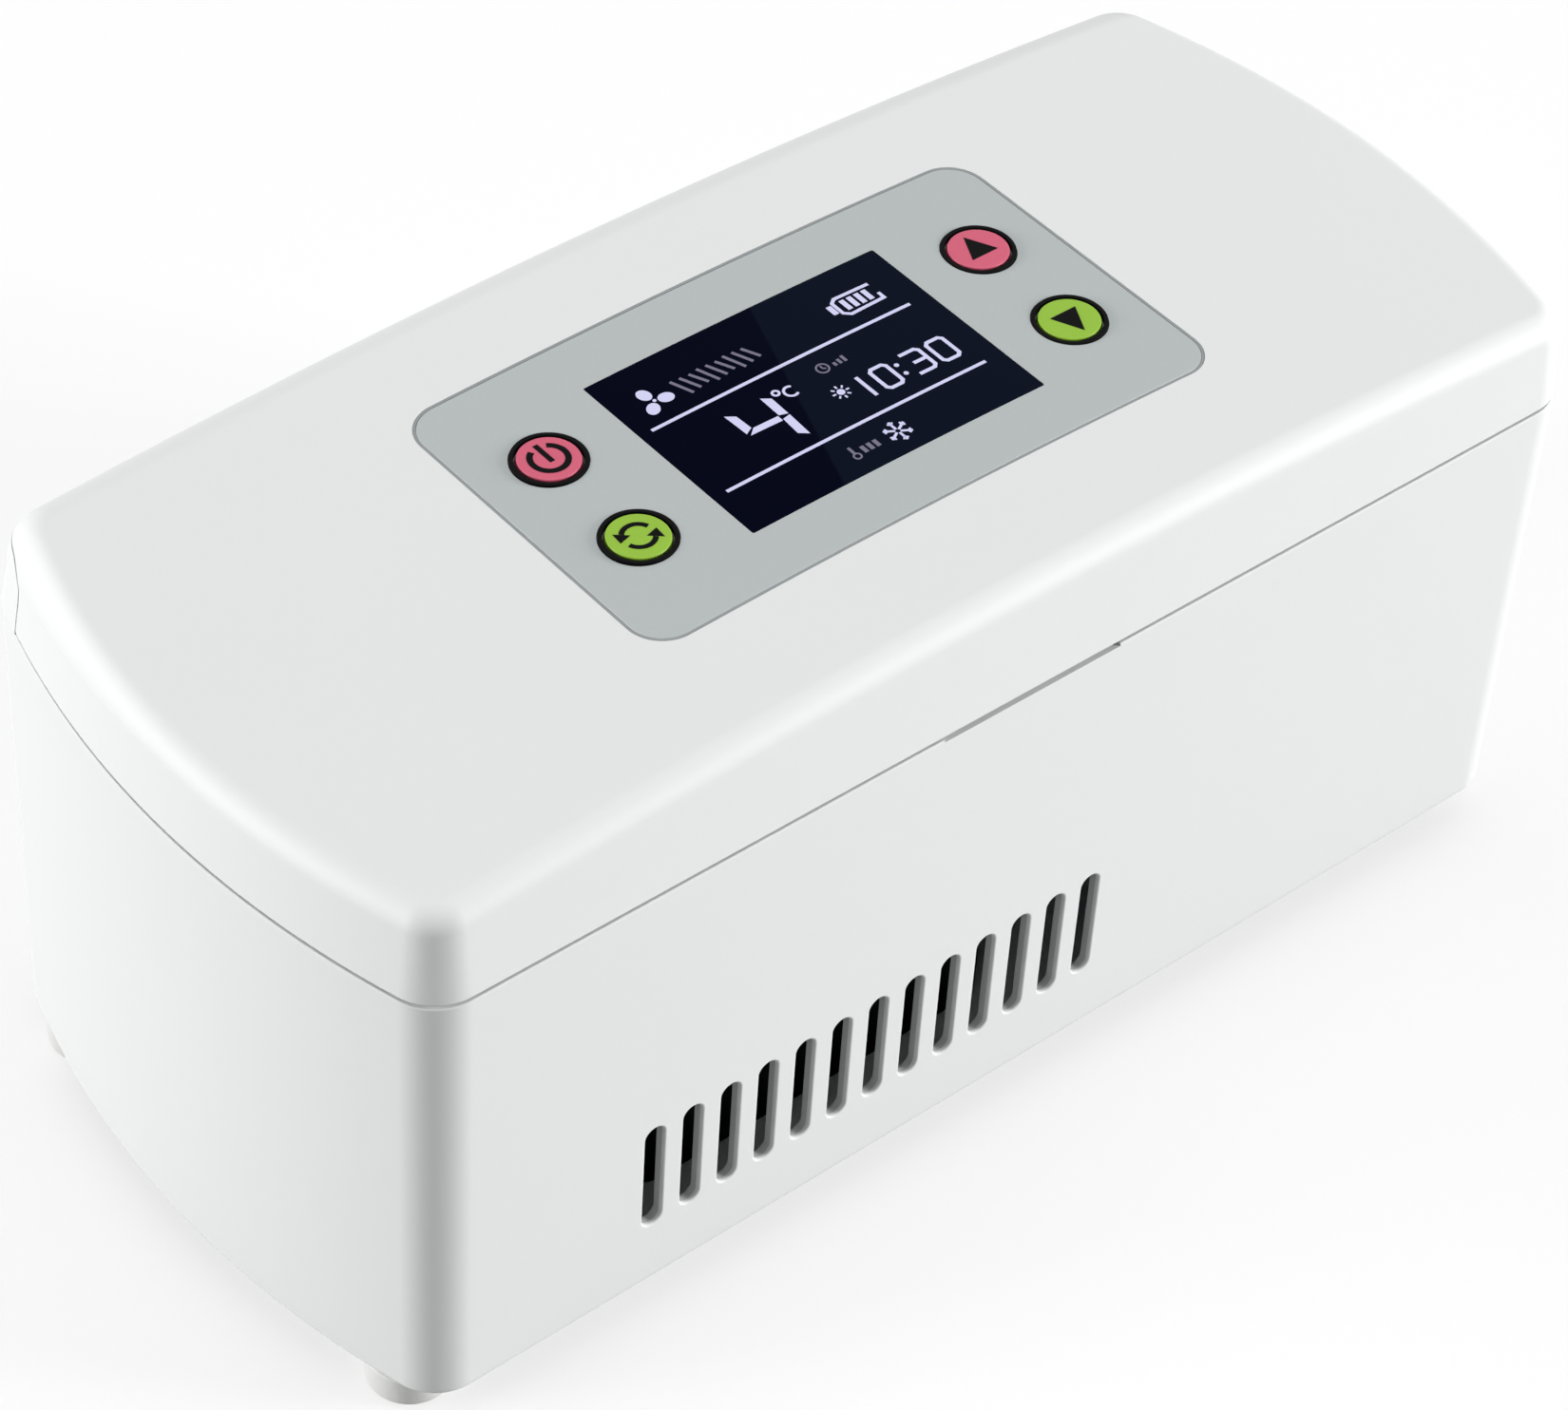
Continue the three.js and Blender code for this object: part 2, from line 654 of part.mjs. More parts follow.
function trayFoam() {
  const wrap = prism(
    roundedRectangle(
      TRAY_L + 2 * (FIT + FOAM_T), TRAY_D + 2 * (FIT + FOAM_T), CHAMBER_R + TRAY_T + FOAM_T,
    ),
    [Z_FOAM, Z_DECK - SEAT],
  );
  const tub = prism(
    roundedRectangle(TRAY_L + 2 * FIT, TRAY_D + 2 * FIT, CHAMBER_R + TRAY_T + FIT),
    [Z_TRAY - FIT, Z_TOP],
  );
  const block = box(
    span(SINK_X, BLOCK_W + 2 * FIT), span(STACK_Y, BLOCK_W + 2 * FIT), [Z_FOAM - WALL, Z_TRAY],
  );
  const sensor = box(
    span(SENSOR_X, SENSOR_L + 2 * FIT),
    span(0, SENSOR_W + 2 * FIT),
    [Z_TRAY - SENSOR_T - 2 * SEAT - FIT, Z_TRAY],
  );
  return cut(wrap, tub, block, sensor);
}

// Heat sink with fins that run front to back, so that warm air leaves through the vents
function heatSink() {
  const finLow = Z_FAN_TOP + SEAT;
  const baseLow = Z_SINK_TOP - SINK_BASE_T;
  const pitch = (SINK_L - FIN_T) / (FIN_COUNT - 1);
  const x0 = SINK_X - SINK_L / 2;
  const comb = new THREE.Shape();
  comb.moveTo(x0, Z_SINK_TOP);
  for (let i = 0; i < FIN_COUNT; i++) {
    const x = x0 + i * pitch;
    comb.lineTo(x, i ? baseLow : Z_SINK_TOP);
    comb.lineTo(x, finLow);
    comb.lineTo(x + FIN_T, finLow);
    if (i < FIN_COUNT - 1) comb.lineTo(x + FIN_T, baseLow);
  }
  comb.lineTo(x0 + SINK_L, Z_SINK_TOP);
  return alongY(comb, span(STACK_Y, SINK_D));
}

function fanFrame() {
  const body = box(span(SINK_X, FAN_W), span(STACK_Y, FAN_W), [Z_FAN, Z_FAN_TOP]);
  const bore = rod(SINK_X, STACK_Y, [Z_FAN - WALL, Z_FAN_TOP + WALL], FAN_BORE_R, 2 * ROUND);
  const strutZ = [Z_FAN, Z_FAN + FAN_STRUT_T];
  const struts = [
    box(span(SINK_X, FAN_W), span(STACK_Y, FAN_STRUT_W), strutZ),
    box(span(SINK_X, FAN_STRUT_W), span(STACK_Y, FAN_W), strutZ),
  ];
  const motor = rod(SINK_X, STACK_Y, strutZ, FAN_MOTOR_R);
  const pin = rod(SINK_X, STACK_Y, [Z_FAN, Z_FAN_TOP - FAN_HUB_TOP_T], FAN_PIN_R, SMALL_ROUND);
  return join(cut(body, bore), ...struts, motor, pin);
}

function fanRotor() {
  const low = Z_FAN + FAN_STRUT_T + FIT;
  const high = Z_FAN_TOP - FIT;
  const hub = rod(SINK_X, STACK_Y, [low, high], FAN_HUB_R);
  const bore = rod(
    SINK_X, STACK_Y, [low - FIT, Z_FAN_TOP - FAN_HUB_TOP_T + FIT], FAN_PIN_R + FIT, SMALL_ROUND,
  );
  const root = FAN_HUB_R - BLADE_T;
  const tip = FAN_BORE_R - BLADE_TIP_GAP;
  const blades = Array.from({ length: BLADE_COUNT }, (_, i) => {
    const geometry = new THREE.BoxGeometry(tip - root, BLADE_T, BLADE_H);
    geometry.rotateX(THREE.MathUtils.degToRad(BLADE_PITCH));
    geometry.translate((tip + root) / 2, 0, 0);
    geometry.rotateZ((2 * Math.PI * i) / BLADE_COUNT);
    return solid(geometry.translate(SINK_X, STACK_Y, (low + high) / 2));
  });
  return cut(join(hub, ...blades), bore);
}

// Battery bay, main board and inlet
const HOLDER_LOW = Z_COVER_TOP + SEAT;
const CELL_Z = HOLDER_LOW + HOLDER_T + CELL_R + FIT;
const BOARD_LOW = CELL_Z + CELL_R + BOARD_LIFT;
const HOLDER_HALF_L = CELL_L / 2 + CELL_CAP_T + FIT + HOLDER_T;
const HOLDER_HALF_D = ((CELL_COUNT - 1) / 2) * CELL_SPACING + CELL_R + FIT + HOLDER_POST_W;
const cellY = (index) => (index - (CELL_COUNT - 1) / 2) * CELL_SPACING;

function socketZ() {
  return BOARD_LOW - SEAT - SOCKET_H / 2;
}

function batteryHolder() {
  const block = box(
    span(CELL_X, 2 * HOLDER_HALF_L), span(0, 2 * HOLDER_HALF_D), [HOLDER_LOW, HOLDER_LOW + HOLDER_H],
  );
  const ends = [-1, 1].map((side) =>
    box(
      span(CELL_X + side * (HOLDER_HALF_L - HOLDER_T / 2), HOLDER_T),
      span(0, 2 * HOLDER_HALF_D),
      [HOLDER_LOW, HOLDER_LOW + HOLDER_END_H],
    ),
  );
  const inset = HOLDER_POST_W / 2;
  const posts = fourCorners(HOLDER_HALF_L - inset, HOLDER_HALF_D - inset).map(([x, y]) =>
    box(span(CELL_X + x, HOLDER_POST_W), span(y, HOLDER_POST_W), [HOLDER_LOW, BOARD_LOW - SEAT]),
  );
  const room = HOLDER_HALF_L - HOLDER_T;
  const cells = Array.from({ length: CELL_COUNT }, (_, i) =>
    rodAlongX([CELL_X - room, CELL_X + room], cellY(i), CELL_Z, CELL_R + FIT),
  );
  return cut(join(block, ...ends, ...posts), ...cells);
}

function batteryCell() {
  const half = CELL_L / 2;
  const body = rodAlongX([-half, half], 0, 0, CELL_R);
  const cap = rodAlongX([0, half + CELL_CAP_T], 0, 0, CELL_CAP_R, SMALL_ROUND);
  return join(body, cap);
}

// Circuit board with its taller parts: an inductor, two capacitors, a control chip and a connector
function mainBoard() {
  const boardX = span(CELL_X, 2 * HOLDER_HALF_L);
  const boardY = [-HOLDER_HALF_D, HALF_D - WALL - BOARD_REAR_GAP];
  const top = BOARD_LOW + BOARD_T;
  const sheet = box(boardX, boardY, [BOARD_LOW, top]);
  const onBoard = (height) => [BOARD_LOW, top + height];
  const inductor = box(
    span(CELL_X - COIL_LEFT, COIL_W), span(-COIL_FRONT, COIL_W), onBoard(COIL_H),
  );
  const capacitors = [0, 1].map((i) =>
    rod(CELL_X + CAN_RIGHT + i * CAN_PITCH, -COIL_FRONT, onBoard(CAN_H), CAN_R, SMALL_ROUND),
  );
  const chip = box(span(CELL_X, CHIP_W), span(CHIP_REAR, CHIP_W), onBoard(CHIP_H));
  const connector = box(
    span(CELL_X - COIL_LEFT, PLUG_L), span(PLUG_REAR, PLUG_D), onBoard(PLUG_BODY_H),
  );
  return join(sheet, inductor, ...capacitors, chip, connector);
}

function dcSocket() {
  const mouth = HALF_D - WALL / 2;
  const body = box(span(SOCKET_X, SOCKET_W), [mouth - SOCKET_L, mouth], span(socketZ(), SOCKET_H));
  const bore = rodAlongY(SOCKET_X, [mouth - SOCKET_BORE_L, mouth + WALL], socketZ(), SOCKET_BORE_R);
  const pin = rodAlongY(
    SOCKET_X, [mouth - SOCKET_BORE_L - WALL, mouth - WALL], socketZ(), SOCKET_PIN_R, SMALL_ROUND,
  );
  return join(cut(body, bore), pin);
}

// Lid
function lidShell() {
  const outer = lidForm([[0, Z_LID_RIM]]);
  const front = box([-LENGTH, LENGTH], [-DEPTH, LID_REAR], [0, Z_TOP + LID_H]);
  const hollow = loft([
    [LID_WALL, Z_SEAM - WALL],
    [LID_WALL, Z_LINER_TOP + SEAT],
    [LID_WALL + LID_LEAN, (x) => crown(x) - LID_EDGE_R - LID_TOP_T],
    [LID_WALL + LID_LEAN + LID_EDGE_R / 2, (x) => crown(x) - LID_TOP_T],
  ]).intersect(front);
  const sweep = HINGE_R + HINGE_CLEAR;
  const ribRoom = new THREE.Shape();
  ribRoom.moveTo(RIB_FRONT - HINGE_CLEAR, Z_SEAM - WALL);
  ribRoom.lineTo(DEPTH, Z_SEAM - WALL);
  ribRoom.lineTo(DEPTH, HINGE_Z + sweep);
  ribRoom.lineTo(HINGE_Y, HINGE_Z + sweep);
  ribRoom.absarc(HINGE_Y, HINGE_Z, sweep, Math.PI / 2, Math.PI);
  const ceiling = (x) => crown(x) - LID_TOP_T / 2;
  const linerPosts = fourCorners(LID_POST_X, LID_POST_Y).map(([x, y]) =>
    rod(x, y, [Z_LINER_TOP + SEAT, ceiling(x)], LID_POST_R, BOSS_ROUND),
  );
  const boardPosts = boardCorners().map(([x, y]) =>
    rod(x, y, [Z_DISPLAY_BOARD_TOP + SEAT, ceiling(x)], BOARD_POST_R, BOSS_ROUND),
  );
  const knuckles = [-1, 1].flatMap((side) => [
    rodAlongX(span(side * KNUCKLE_X, KNUCKLE_W), HINGE_Y, HINGE_Z, KNUCKLE_R),
    box(
      span(side * KNUCKLE_X, KNUCKLE_W),
      span(HINGE_Y, KNUCKLE_NECK),
      [HINGE_Z, HINGE_Z + sweep + SEAM_GAP],
    ),
  ]);
  const hull = join(
    cut(outer, hollow, alongX(ribRoom, [-LENGTH, LENGTH])), ...linerPosts, ...boardPosts, ...knuckles,
  );
  const panelRoom = crownTile(
    PANEL_L + 2 * FIT, PANEL_D + 2 * FIT, PANEL_R + FIT, -LID_EDGE_R, PANEL_T + SEAT,
  ).translate([0, PANEL_Y, 0]);
  const lcdRoom = prism(
    roundedRectangle(WINDOW_L + 2 * (LCD_RIM + FIT), WINDOW_D + 2 * (LCD_RIM + FIT), WINDOW_R),
    [Z_DISPLAY_BOARD, Z_TOP + LID_H],
  ).translate([0, PANEL_Y, 0]);
  const buttonHoles = fourCorners(BUTTON_X, BUTTON_Y).map(([x, y]) =>
    rod(x, PANEL_Y + y, [Z_BUTTON, Z_TOP + LID_H], BUTTON_HOLE_R),
  );
  const screwHoles = fourCorners(LID_POST_X, LID_POST_Y).map(([x, y]) =>
    rod(x, y, [Z_LINER_TOP, Z_LINER_TOP + SCREW_L], SCREW_R + SEAT, SMALL_ROUND),
  );
  const pinHoles = [pinBore(-1), pinBore(1)];
  return cut(hull, panelRoom, lcdRoom, ...buttonHoles, ...screwHoles, ...pinHoles);
}

function boardCorners() {
  return fourCorners(DISPLAY_BOARD_L / 2 - BOARD_POST_IN, DISPLAY_BOARD_D / 2 - BOARD_POST_IN);
}

// Inner face of the lid with a plug that drops into the mouth of the chamber
function lidLiner() {
  const sheet = plate(LID_WALL + FIT, [Z_LINER, Z_LINER_TOP]);
  const rear = box([-LENGTH, LENGTH], [LID_REAR - FIT, DEPTH], [Z_SEAM, Z_TOP]);
  const plug = prism(
    roundedRectangle(CHAMBER_L - 2 * PLUG_IN, CHAMBER_D - 2 * PLUG_IN, CHAMBER_R),
    [Z_LINER - PLUG_H, Z_LINER_TOP],
  );
  const screws = fourCorners(LID_POST_X, LID_POST_Y).map(([x, y]) =>
    rod(x, y, [Z_LINER - SEAT, Z_TOP], SCREW_R + SEAT, SMALL_ROUND),
  );
  return cut(join(cut(sheet, rear), plug), ...screws);
}

function lidGasket() {
  const outer = prism(
    roundedRectangle(CHAMBER_L + 2 * GASKET_W, CHAMBER_D + 2 * GASKET_W, CHAMBER_R + GASKET_W),
    [Z_GASKET, Z_GASKET + GASKET_T],
  );
  const inner = prism(roundedRectangle(CHAMBER_L, CHAMBER_D, CHAMBER_R), [Z_GASKET - WALL, Z_TOP]);
  return cut(outer, inner);
}

function lidFoam() {
  const low = Z_LINER_TOP + SEAT;
  return prism(
    roundedRectangle(CHAMBER_L - 2 * FOAM_T, CHAMBER_D, CHAMBER_R), [low, low + LID_FOAM_T],
  );
}

// The panel, its window and the display behind it are centred here and placed at PANEL_Y
function panelOverlay() {
  const film = crownTile(PANEL_L, PANEL_D, PANEL_R, 0, PANEL_T);
  const window = prism(
    roundedRectangle(WINDOW_L + 2 * FIT, WINDOW_D + 2 * FIT, WINDOW_R + FIT), [Z_SEAM, Z_TOP + LID_H],
  );
  const holes = fourCorners(BUTTON_X, BUTTON_Y).map(([x, y]) =>
    rod(x, y, [Z_SEAM, Z_TOP + LID_H], BUTTON_HOLE_R + RING_W + SEAT),
  );
  return cut(film, window, ...holes);
}

function lcdModule() {
  const bottom = Z_DISPLAY_BOARD_TOP + SEAT;
  const top = crown(WINDOW_L / 2) - WINDOW_T - FIT;
  return prism(
    roundedRectangle(WINDOW_L + 2 * LCD_RIM, WINDOW_D + 2 * LCD_RIM, WINDOW_R), [bottom, top],
  );
}

function displayBoard() {
  return box(
    span(0, DISPLAY_BOARD_L), span(0, DISPLAY_BOARD_D), [Z_DISPLAY_BOARD, Z_DISPLAY_BOARD_TOP],
  );
}

// Key cap with a flange that stays under the lid; its axis is the origin's
function button() {
  const top = crown(BUTTON_X) + BUTTON_PROUD;
  const edge = arcPoints(
    BUTTON_R - BUTTON_EDGE_R, top - BUTTON_EDGE_R, BUTTON_EDGE_R, 0, Math.PI / 2, SMALL_FILLET_STEPS,
  );
  return turned([
    [0, Z_BUTTON],
    [BUTTON_R + BUTTON_FLANGE, Z_BUTTON],
    [BUTTON_R + BUTTON_FLANGE, Z_BUTTON_FLANGE_TOP],
    [BUTTON_R, Z_BUTTON_FLANGE_TOP],
    ...edge.map((p) => [p.x, p.y]),
    [0, top],
  ]);
}

function buttonRing() {
  const inner = BUTTON_HOLE_R;
  const outer = inner + RING_W;
  const seat = crown(BUTTON_X - outer) - PANEL_T;
  const top = crown(BUTTON_X) + RING_PROUD;
  return cut(rod(0, 0, [seat, top], outer), rod(0, 0, [seat - WALL, top + WALL], inner));
}

function keySwitch() {
  const body = box(span(0, SWITCH_W), span(0, SWITCH_W), [Z_SWITCH, Z_SWITCH + SWITCH_BODY_H]);
  const top = Z_SWITCH + SWITCH_BODY_H + SWITCH_PLUNGER_H;
  return join(body, rod(0, 0, [Z_SWITCH, top], SWITCH_PLUNGER_R, SMALL_ROUND));
}

// Scene graph: the base, and the lid in a group of its own
const coolingCase = new THREE.Group();
const base = new THREE.Group();
const lid = new THREE.Group();
coolingCase.add(base, lid);

function place(group, name, shape, material, [x, y, z] = [0, 0, 0]) {
  const mesh = new THREE.Mesh(geometryOf(shape), material);
  mesh.name = name;
  mesh.position.set(x, y, z);
  group.add(mesh);
  return mesh;
}

const CORNER_NAMES = ["front_left", "front_right", "rear_right", "rear_left"];
const SIDES = [["left", -1], ["right", 1]];

place(base, "base_shell", baseShell(), WHITE_ABS);
place(base, "bottom_cover", bottomCover(), WHITE_ABS);
place(base, "inner_deck", innerDeck(), WHITE_ABS);
place(base, "cold_tray", coldTray(), ALUMINIUM);
place(base, "tray_foam", trayFoam(), FOAM);
place(
  base, "temp_sensor",
  box(span(SENSOR_X, SENSOR_L), span(0, SENSOR_W), [Z_TRAY - SEAT - SENSOR_T, Z_TRAY - SEAT]),
  BLACK_ABS,
);
place(
  base, "cold_block",
  box(span(SINK_X, BLOCK_W), span(STACK_Y, BLOCK_W), [Z_BLOCK, Z_BLOCK + BLOCK_T]),
  ALUMINIUM,
);
place(
  base, "peltier_module",
  box(span(SINK_X, PELTIER_W), span(STACK_Y, PELTIER_W), [Z_PELTIER, Z_PELTIER + PELTIER_T]),
  CERAMIC,
);
place(base, "heat_sink", heatSink(), ALUMINIUM);
place(base, "fan_frame", fanFrame(), BLACK_ABS);
place(base, "fan_rotor", fanRotor(), BLACK_ABS);
place(base, "battery_holder", batteryHolder(), BLACK_ABS);
place(base, "main_board", mainBoard(), CIRCUIT_GREEN);
place(base, "dc_socket", dcSocket(), BLACK_ABS);
for (let i = 0; i < CELL_COUNT; i++) {
  place(base, `battery_cell_${i + 1}`, batteryCell(), CELL_WRAP, [CELL_X, cellY(i), CELL_Z]);
}
fourCorners(FOOT_X, FOOT_Y).forEach(([x, y], i) => {
  place(base, `foot_${CORNER_NAMES[i]}`, foot(), WHITE_RUBBER, [x, y, 0]);
});
fourCorners(COVER_BOSS_X, COVER_BOSS_Y).forEach(([x, y], i) => {
  const z = Z_COVER + SCREW_HEAD_T;
  place(base, `cover_screw_${CORNER_NAMES[i]}`, screw(), STEEL, [x, y, z]);
});
fourCorners(POST_X, POST_Y).forEach(([x, y], i) => {
  const mesh = place(base, `deck_screw_${CORNER_NAMES[i]}`, screw(), STEEL, [x, y, Z_DECK_TOP + SEAT]);
  mesh.rotation.x = Math.PI;
});
SIDES.forEach(([side, sign]) => {
  const x = sign * MAGNET_X;
  const pin = rodAlongX(span(0, PIN_L - 2 * SEAT), 0, 0, PIN_D / 2, SMALL_ROUND);
  place(base, `hinge_pin_${side}`, pin, STEEL, [sign * KNUCKLE_X, HINGE_Y, HINGE_Z]);
  const magnet = rod(0, 0, [0, MAGNET_T], MAGNET_R);
  place(base, `base_magnet_${side}`, magnet, STEEL, [x, MAGNET_Y, Z_DECK_TOP - MAGNET_T]);
  place(lid, `lid_magnet_${side}`, magnet, STEEL, [x, MAGNET_Y, Z_LINER_TOP + SEAT]);
});

place(lid, "lid_shell", lidShell(), WHITE_ABS);
place(lid, "lid_liner", lidLiner(), WHITE_ABS);
place(lid, "lid_gasket", lidGasket(), GREY_SILICONE);
place(lid, "lid_foam", lidFoam(), FOAM);
const lens = crownTile(WINDOW_L, WINDOW_D, WINDOW_R, 0, WINDOW_T);
place(lid, "panel_overlay", panelOverlay(), GREY_FILM, [0, PANEL_Y, 0]);
place(lid, "lcd_window", lens, DARK_LENS, [0, PANEL_Y, 0]);
place(lid, "lcd_module", lcdModule(), BLACK_ABS, [0, PANEL_Y, 0]);
place(lid, "display_board", displayBoard(), CIRCUIT_GREEN);
fourCorners(LID_POST_X, LID_POST_Y).forEach(([x, y], i) => {
  place(lid, `lid_screw_${CORNER_NAMES[i]}`, screw(), STEEL, [x, y, Z_LINER - SEAT]);
});

const KEYS = [
  ["power", -BUTTON_X, PANEL_Y + BUTTON_Y, RED_KEY],
  ["auto", -BUTTON_X, PANEL_Y - BUTTON_Y, GREEN_KEY],
  ["up", BUTTON_X, PANEL_Y + BUTTON_Y, RED_KEY],
  ["down", BUTTON_X, PANEL_Y - BUTTON_Y, GREEN_KEY],
];
KEYS.forEach(([name, x, y, material]) => {
  place(lid, `${name}_button`, button(), material, [x, y, 0]);
  place(lid, `${name}_button_ring`, buttonRing(), BLACK_ABS, [x, y, 0]);
  place(lid, `${name}_switch`, keySwitch(), BLACK_ABS, [x, y, 0]);
});

export default coolingCase;
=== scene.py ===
"""Looks of a portable insulin cooling case, made around its packed construction model.

The case is a white box with bowed ends and a hinged, arched lid. The lid carries a display and four keys,
and an aluminium chamber under it is cooled by a stack behind the front vents. Lengths are in metres, +Z is
up, the front faces -Y, and the origin is on the table under the middle of the case.
"""

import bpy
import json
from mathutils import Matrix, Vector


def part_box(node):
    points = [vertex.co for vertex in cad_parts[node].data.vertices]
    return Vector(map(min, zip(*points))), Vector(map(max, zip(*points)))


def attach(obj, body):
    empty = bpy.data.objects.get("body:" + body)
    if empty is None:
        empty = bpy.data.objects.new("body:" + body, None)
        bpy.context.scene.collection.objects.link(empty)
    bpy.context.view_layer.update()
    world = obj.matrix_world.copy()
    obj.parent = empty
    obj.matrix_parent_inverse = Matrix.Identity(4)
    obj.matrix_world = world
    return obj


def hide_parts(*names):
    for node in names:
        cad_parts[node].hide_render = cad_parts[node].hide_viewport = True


bl_info = {
    "name": "Insulin cooling case",
    "version": (1, 0, 0),
    "blender": (4, 5, 0),
    "location": "3D View > Sidebar > Cooling case",
    "description": "Builds the shells, display, keys, chamber and insides of an insulin cooling case",
    "category": "Add Mesh",
}

import json
import math
from functools import partial

import bmesh
import bpy
from bpy.props import FloatProperty, FloatVectorProperty, IntProperty, PointerProperty
from mathutils import Matrix, Vector

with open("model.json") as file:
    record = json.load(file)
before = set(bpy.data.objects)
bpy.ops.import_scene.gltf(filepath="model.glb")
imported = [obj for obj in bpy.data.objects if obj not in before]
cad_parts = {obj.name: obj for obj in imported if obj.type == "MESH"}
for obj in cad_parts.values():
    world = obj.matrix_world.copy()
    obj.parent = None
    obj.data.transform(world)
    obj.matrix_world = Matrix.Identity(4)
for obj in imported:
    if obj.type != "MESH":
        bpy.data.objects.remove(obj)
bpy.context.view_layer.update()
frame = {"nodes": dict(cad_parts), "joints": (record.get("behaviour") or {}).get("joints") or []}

MM = 0.001
QUARTER_TURN = math.pi / 2

# Places read from the frame
BASE_LOW, BASE_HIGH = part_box("base_shell")
LID_LOW, LID_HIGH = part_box("lid_shell")
HALF_L = BASE_HIGH.x
HALF_D = BASE_HIGH.y
LID_RIM = LID_LOW.z
LID_TOP = LID_HIGH.z
HINGE = Vector(next(joint["pos_m"] for joint in frame["joints"] if joint["name"] == "lid_hinge"))
HINGE_R = HALF_D - HINGE.y
RIB_FRONT = HINGE.y - HINGE_R
PANEL_LOW, PANEL_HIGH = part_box("panel_overlay")
PANEL_Y = (PANEL_LOW.y + PANEL_HIGH.y) / 2
PANEL_HALF_Y = PANEL_HIGH.y - PANEL_Y
CORNER_NAMES = ("front_left", "front_right", "rear_right", "rear_left")

# How finely round forms are cut up
FRONT_STEPS = 16
CORNER_STEPS = 18
END_STEPS = 14
EDGE_STEPS = 6
ROUND_STEPS = 72
SLOT_STEPS = 12

# Edges that turn by more than this stay sharp
CREASE = math.radians(32)

# Points this close are joined, in a new mesh and in a finished one
JOIN_NEW = 1e-7
JOIN_DONE = 2e-6
SHORTEST_EDGE = 1e-6

# Small clearances of the construction: beside dropped-in pieces, and under seated ones
FIT = 0.3 * MM
SEAT = 0.1 * MM

# How far cutters run past what they cut, and the screws' holes
PAST = 5 * MM
SCREW_HOLE = 1.5 * MM
SCREW_DEPTH = 8 * MM

# Colour sockets of a mix node, which has sockets of several types under the same names
MIX_FACTOR = 0
MIX_FIRST = 6
MIX_SECOND = 7
MIX_RESULT = 2


def linear(code):
    """Linear colour of an sRGB hex value."""
    channels = [int(code[i:i + 2], 16) / 255 for i in (1, 3, 5)]
    return tuple(c / 12.92 if c <= 0.04045 else ((c + 0.055) / 1.055) ** 2.4 for c in channels)


# Sizes and colours that a user would change

def length(label, about, millimetres):
    """A length property that starts at a value in millimetres."""
    return FloatProperty(
        name=label, description=about, default=millimetres * MM, min=0, precision=5,
        subtype="DISTANCE", unit="LENGTH",
    )


def colour(label, about, code):
    """A colour property that starts at an sRGB hex value."""
    return FloatVectorProperty(
        name=label, description=about, default=linear(code), min=0, max=1, size=3, subtype="COLOR",
    )


class CaseSizes(bpy.types.PropertyGroup):
    """Sizes of the shells, openings and keys"""

    end_bow: length("End bow", "How far each end swells beyond its corners", 7.7)
    corner: length("Corner radius", "Upright corners of the case in plan", 7.2)
    wall: length("Wall", "Thickness of the base's walls", 2.4)
    base_edge: length("Bottom edge", "Rounding of the base's bottom edge", 1.6)
    rim_edge: length("Rim edge", "Rounding of both edges at the seam", 0.25)
    seam: length("Seam", "Gap between base and lid", 0.55)
    lid_wall: length("Lid wall", "Thickness of the lid's walls", 2.2)
    lid_top: length("Lid top", "Thickness of the lid's top", 2.4)
    lid_lean: length("Lid lean", "How far the lid's sides draw in towards its top", 1)
    lid_edge: length("Lid edge", "Rounding of the lid's top edge at the front and the ends", 3.4)
    lid_rear: length("Lid rear edge", "Rounding of the lid's top edge along the rear", 7.3)
    crown: length("Crown radius", "Radius of the lid's arch along the case", 1080)
    vent_count: IntProperty(name="Vents", description="Slots in the front", default=13, min=1)
    vent_pitch: length("Vent pitch", "Distance between neighbouring slots", 6.0)
    vent_width: length("Vent width", "Width of one slot", 3.0)
    vent_height: length("Vent height", "Height of one slot", 18.0)
    vent_low: length("Vent low", "Height of the slots' lower ends above the base's bottom", 11.3)
    vent_lip: length("Vent lip", "Rounding where a slot meets the front", 0.35)
    vent_skin: length("Vent skin", "Thickness of the front at the vents", 0.6)
    vent_insert: length("Vent insert", "Thickness of the grey insert behind the slots", 1.0)
    intake_count: IntProperty(name="Intakes", description="Slots under the fan", default=9, min=1)
    intake_length: length("Intake length", "Length of a slot under the fan", 46)
    grip_width: length("Grip width", "Width of the finger notch at the seam", 28.8)
    grip_height: length("Grip height", "Height of the finger notch under the base's rim", 0.35)
    grip_depth: length("Grip depth", "Depth of the finger notch", 1.9)
    key_radius: length("Key radius", "Radius of a key's cap", 4.1)
    key_edge: length("Key edge", "Rounding of a key's cap", 0.25)
    ring_width: length("Ring width", "Width of the trim ring round a key", 0.6)
    panel_corner: length("Panel corner", "Corner radius of the control panel", 5)
    # The bead's grey is painted shade that darkens the whole groove round the panel
    panel_seal: length("Panel seal", "Width of the bead round the control panel", 0.45)
    panel_thick: length("Panel thickness", "Thickness of the control panel's film", 0.7)
    chamber_corner: length("Chamber corner", "Upright corners of the cold chamber", 6)
    fin_count: IntProperty(name="Fins", description="Fins of the heat sink", default=15, min=2)
    fin_thick: length("Fin thickness", "Thickness of one fin", 1.2)


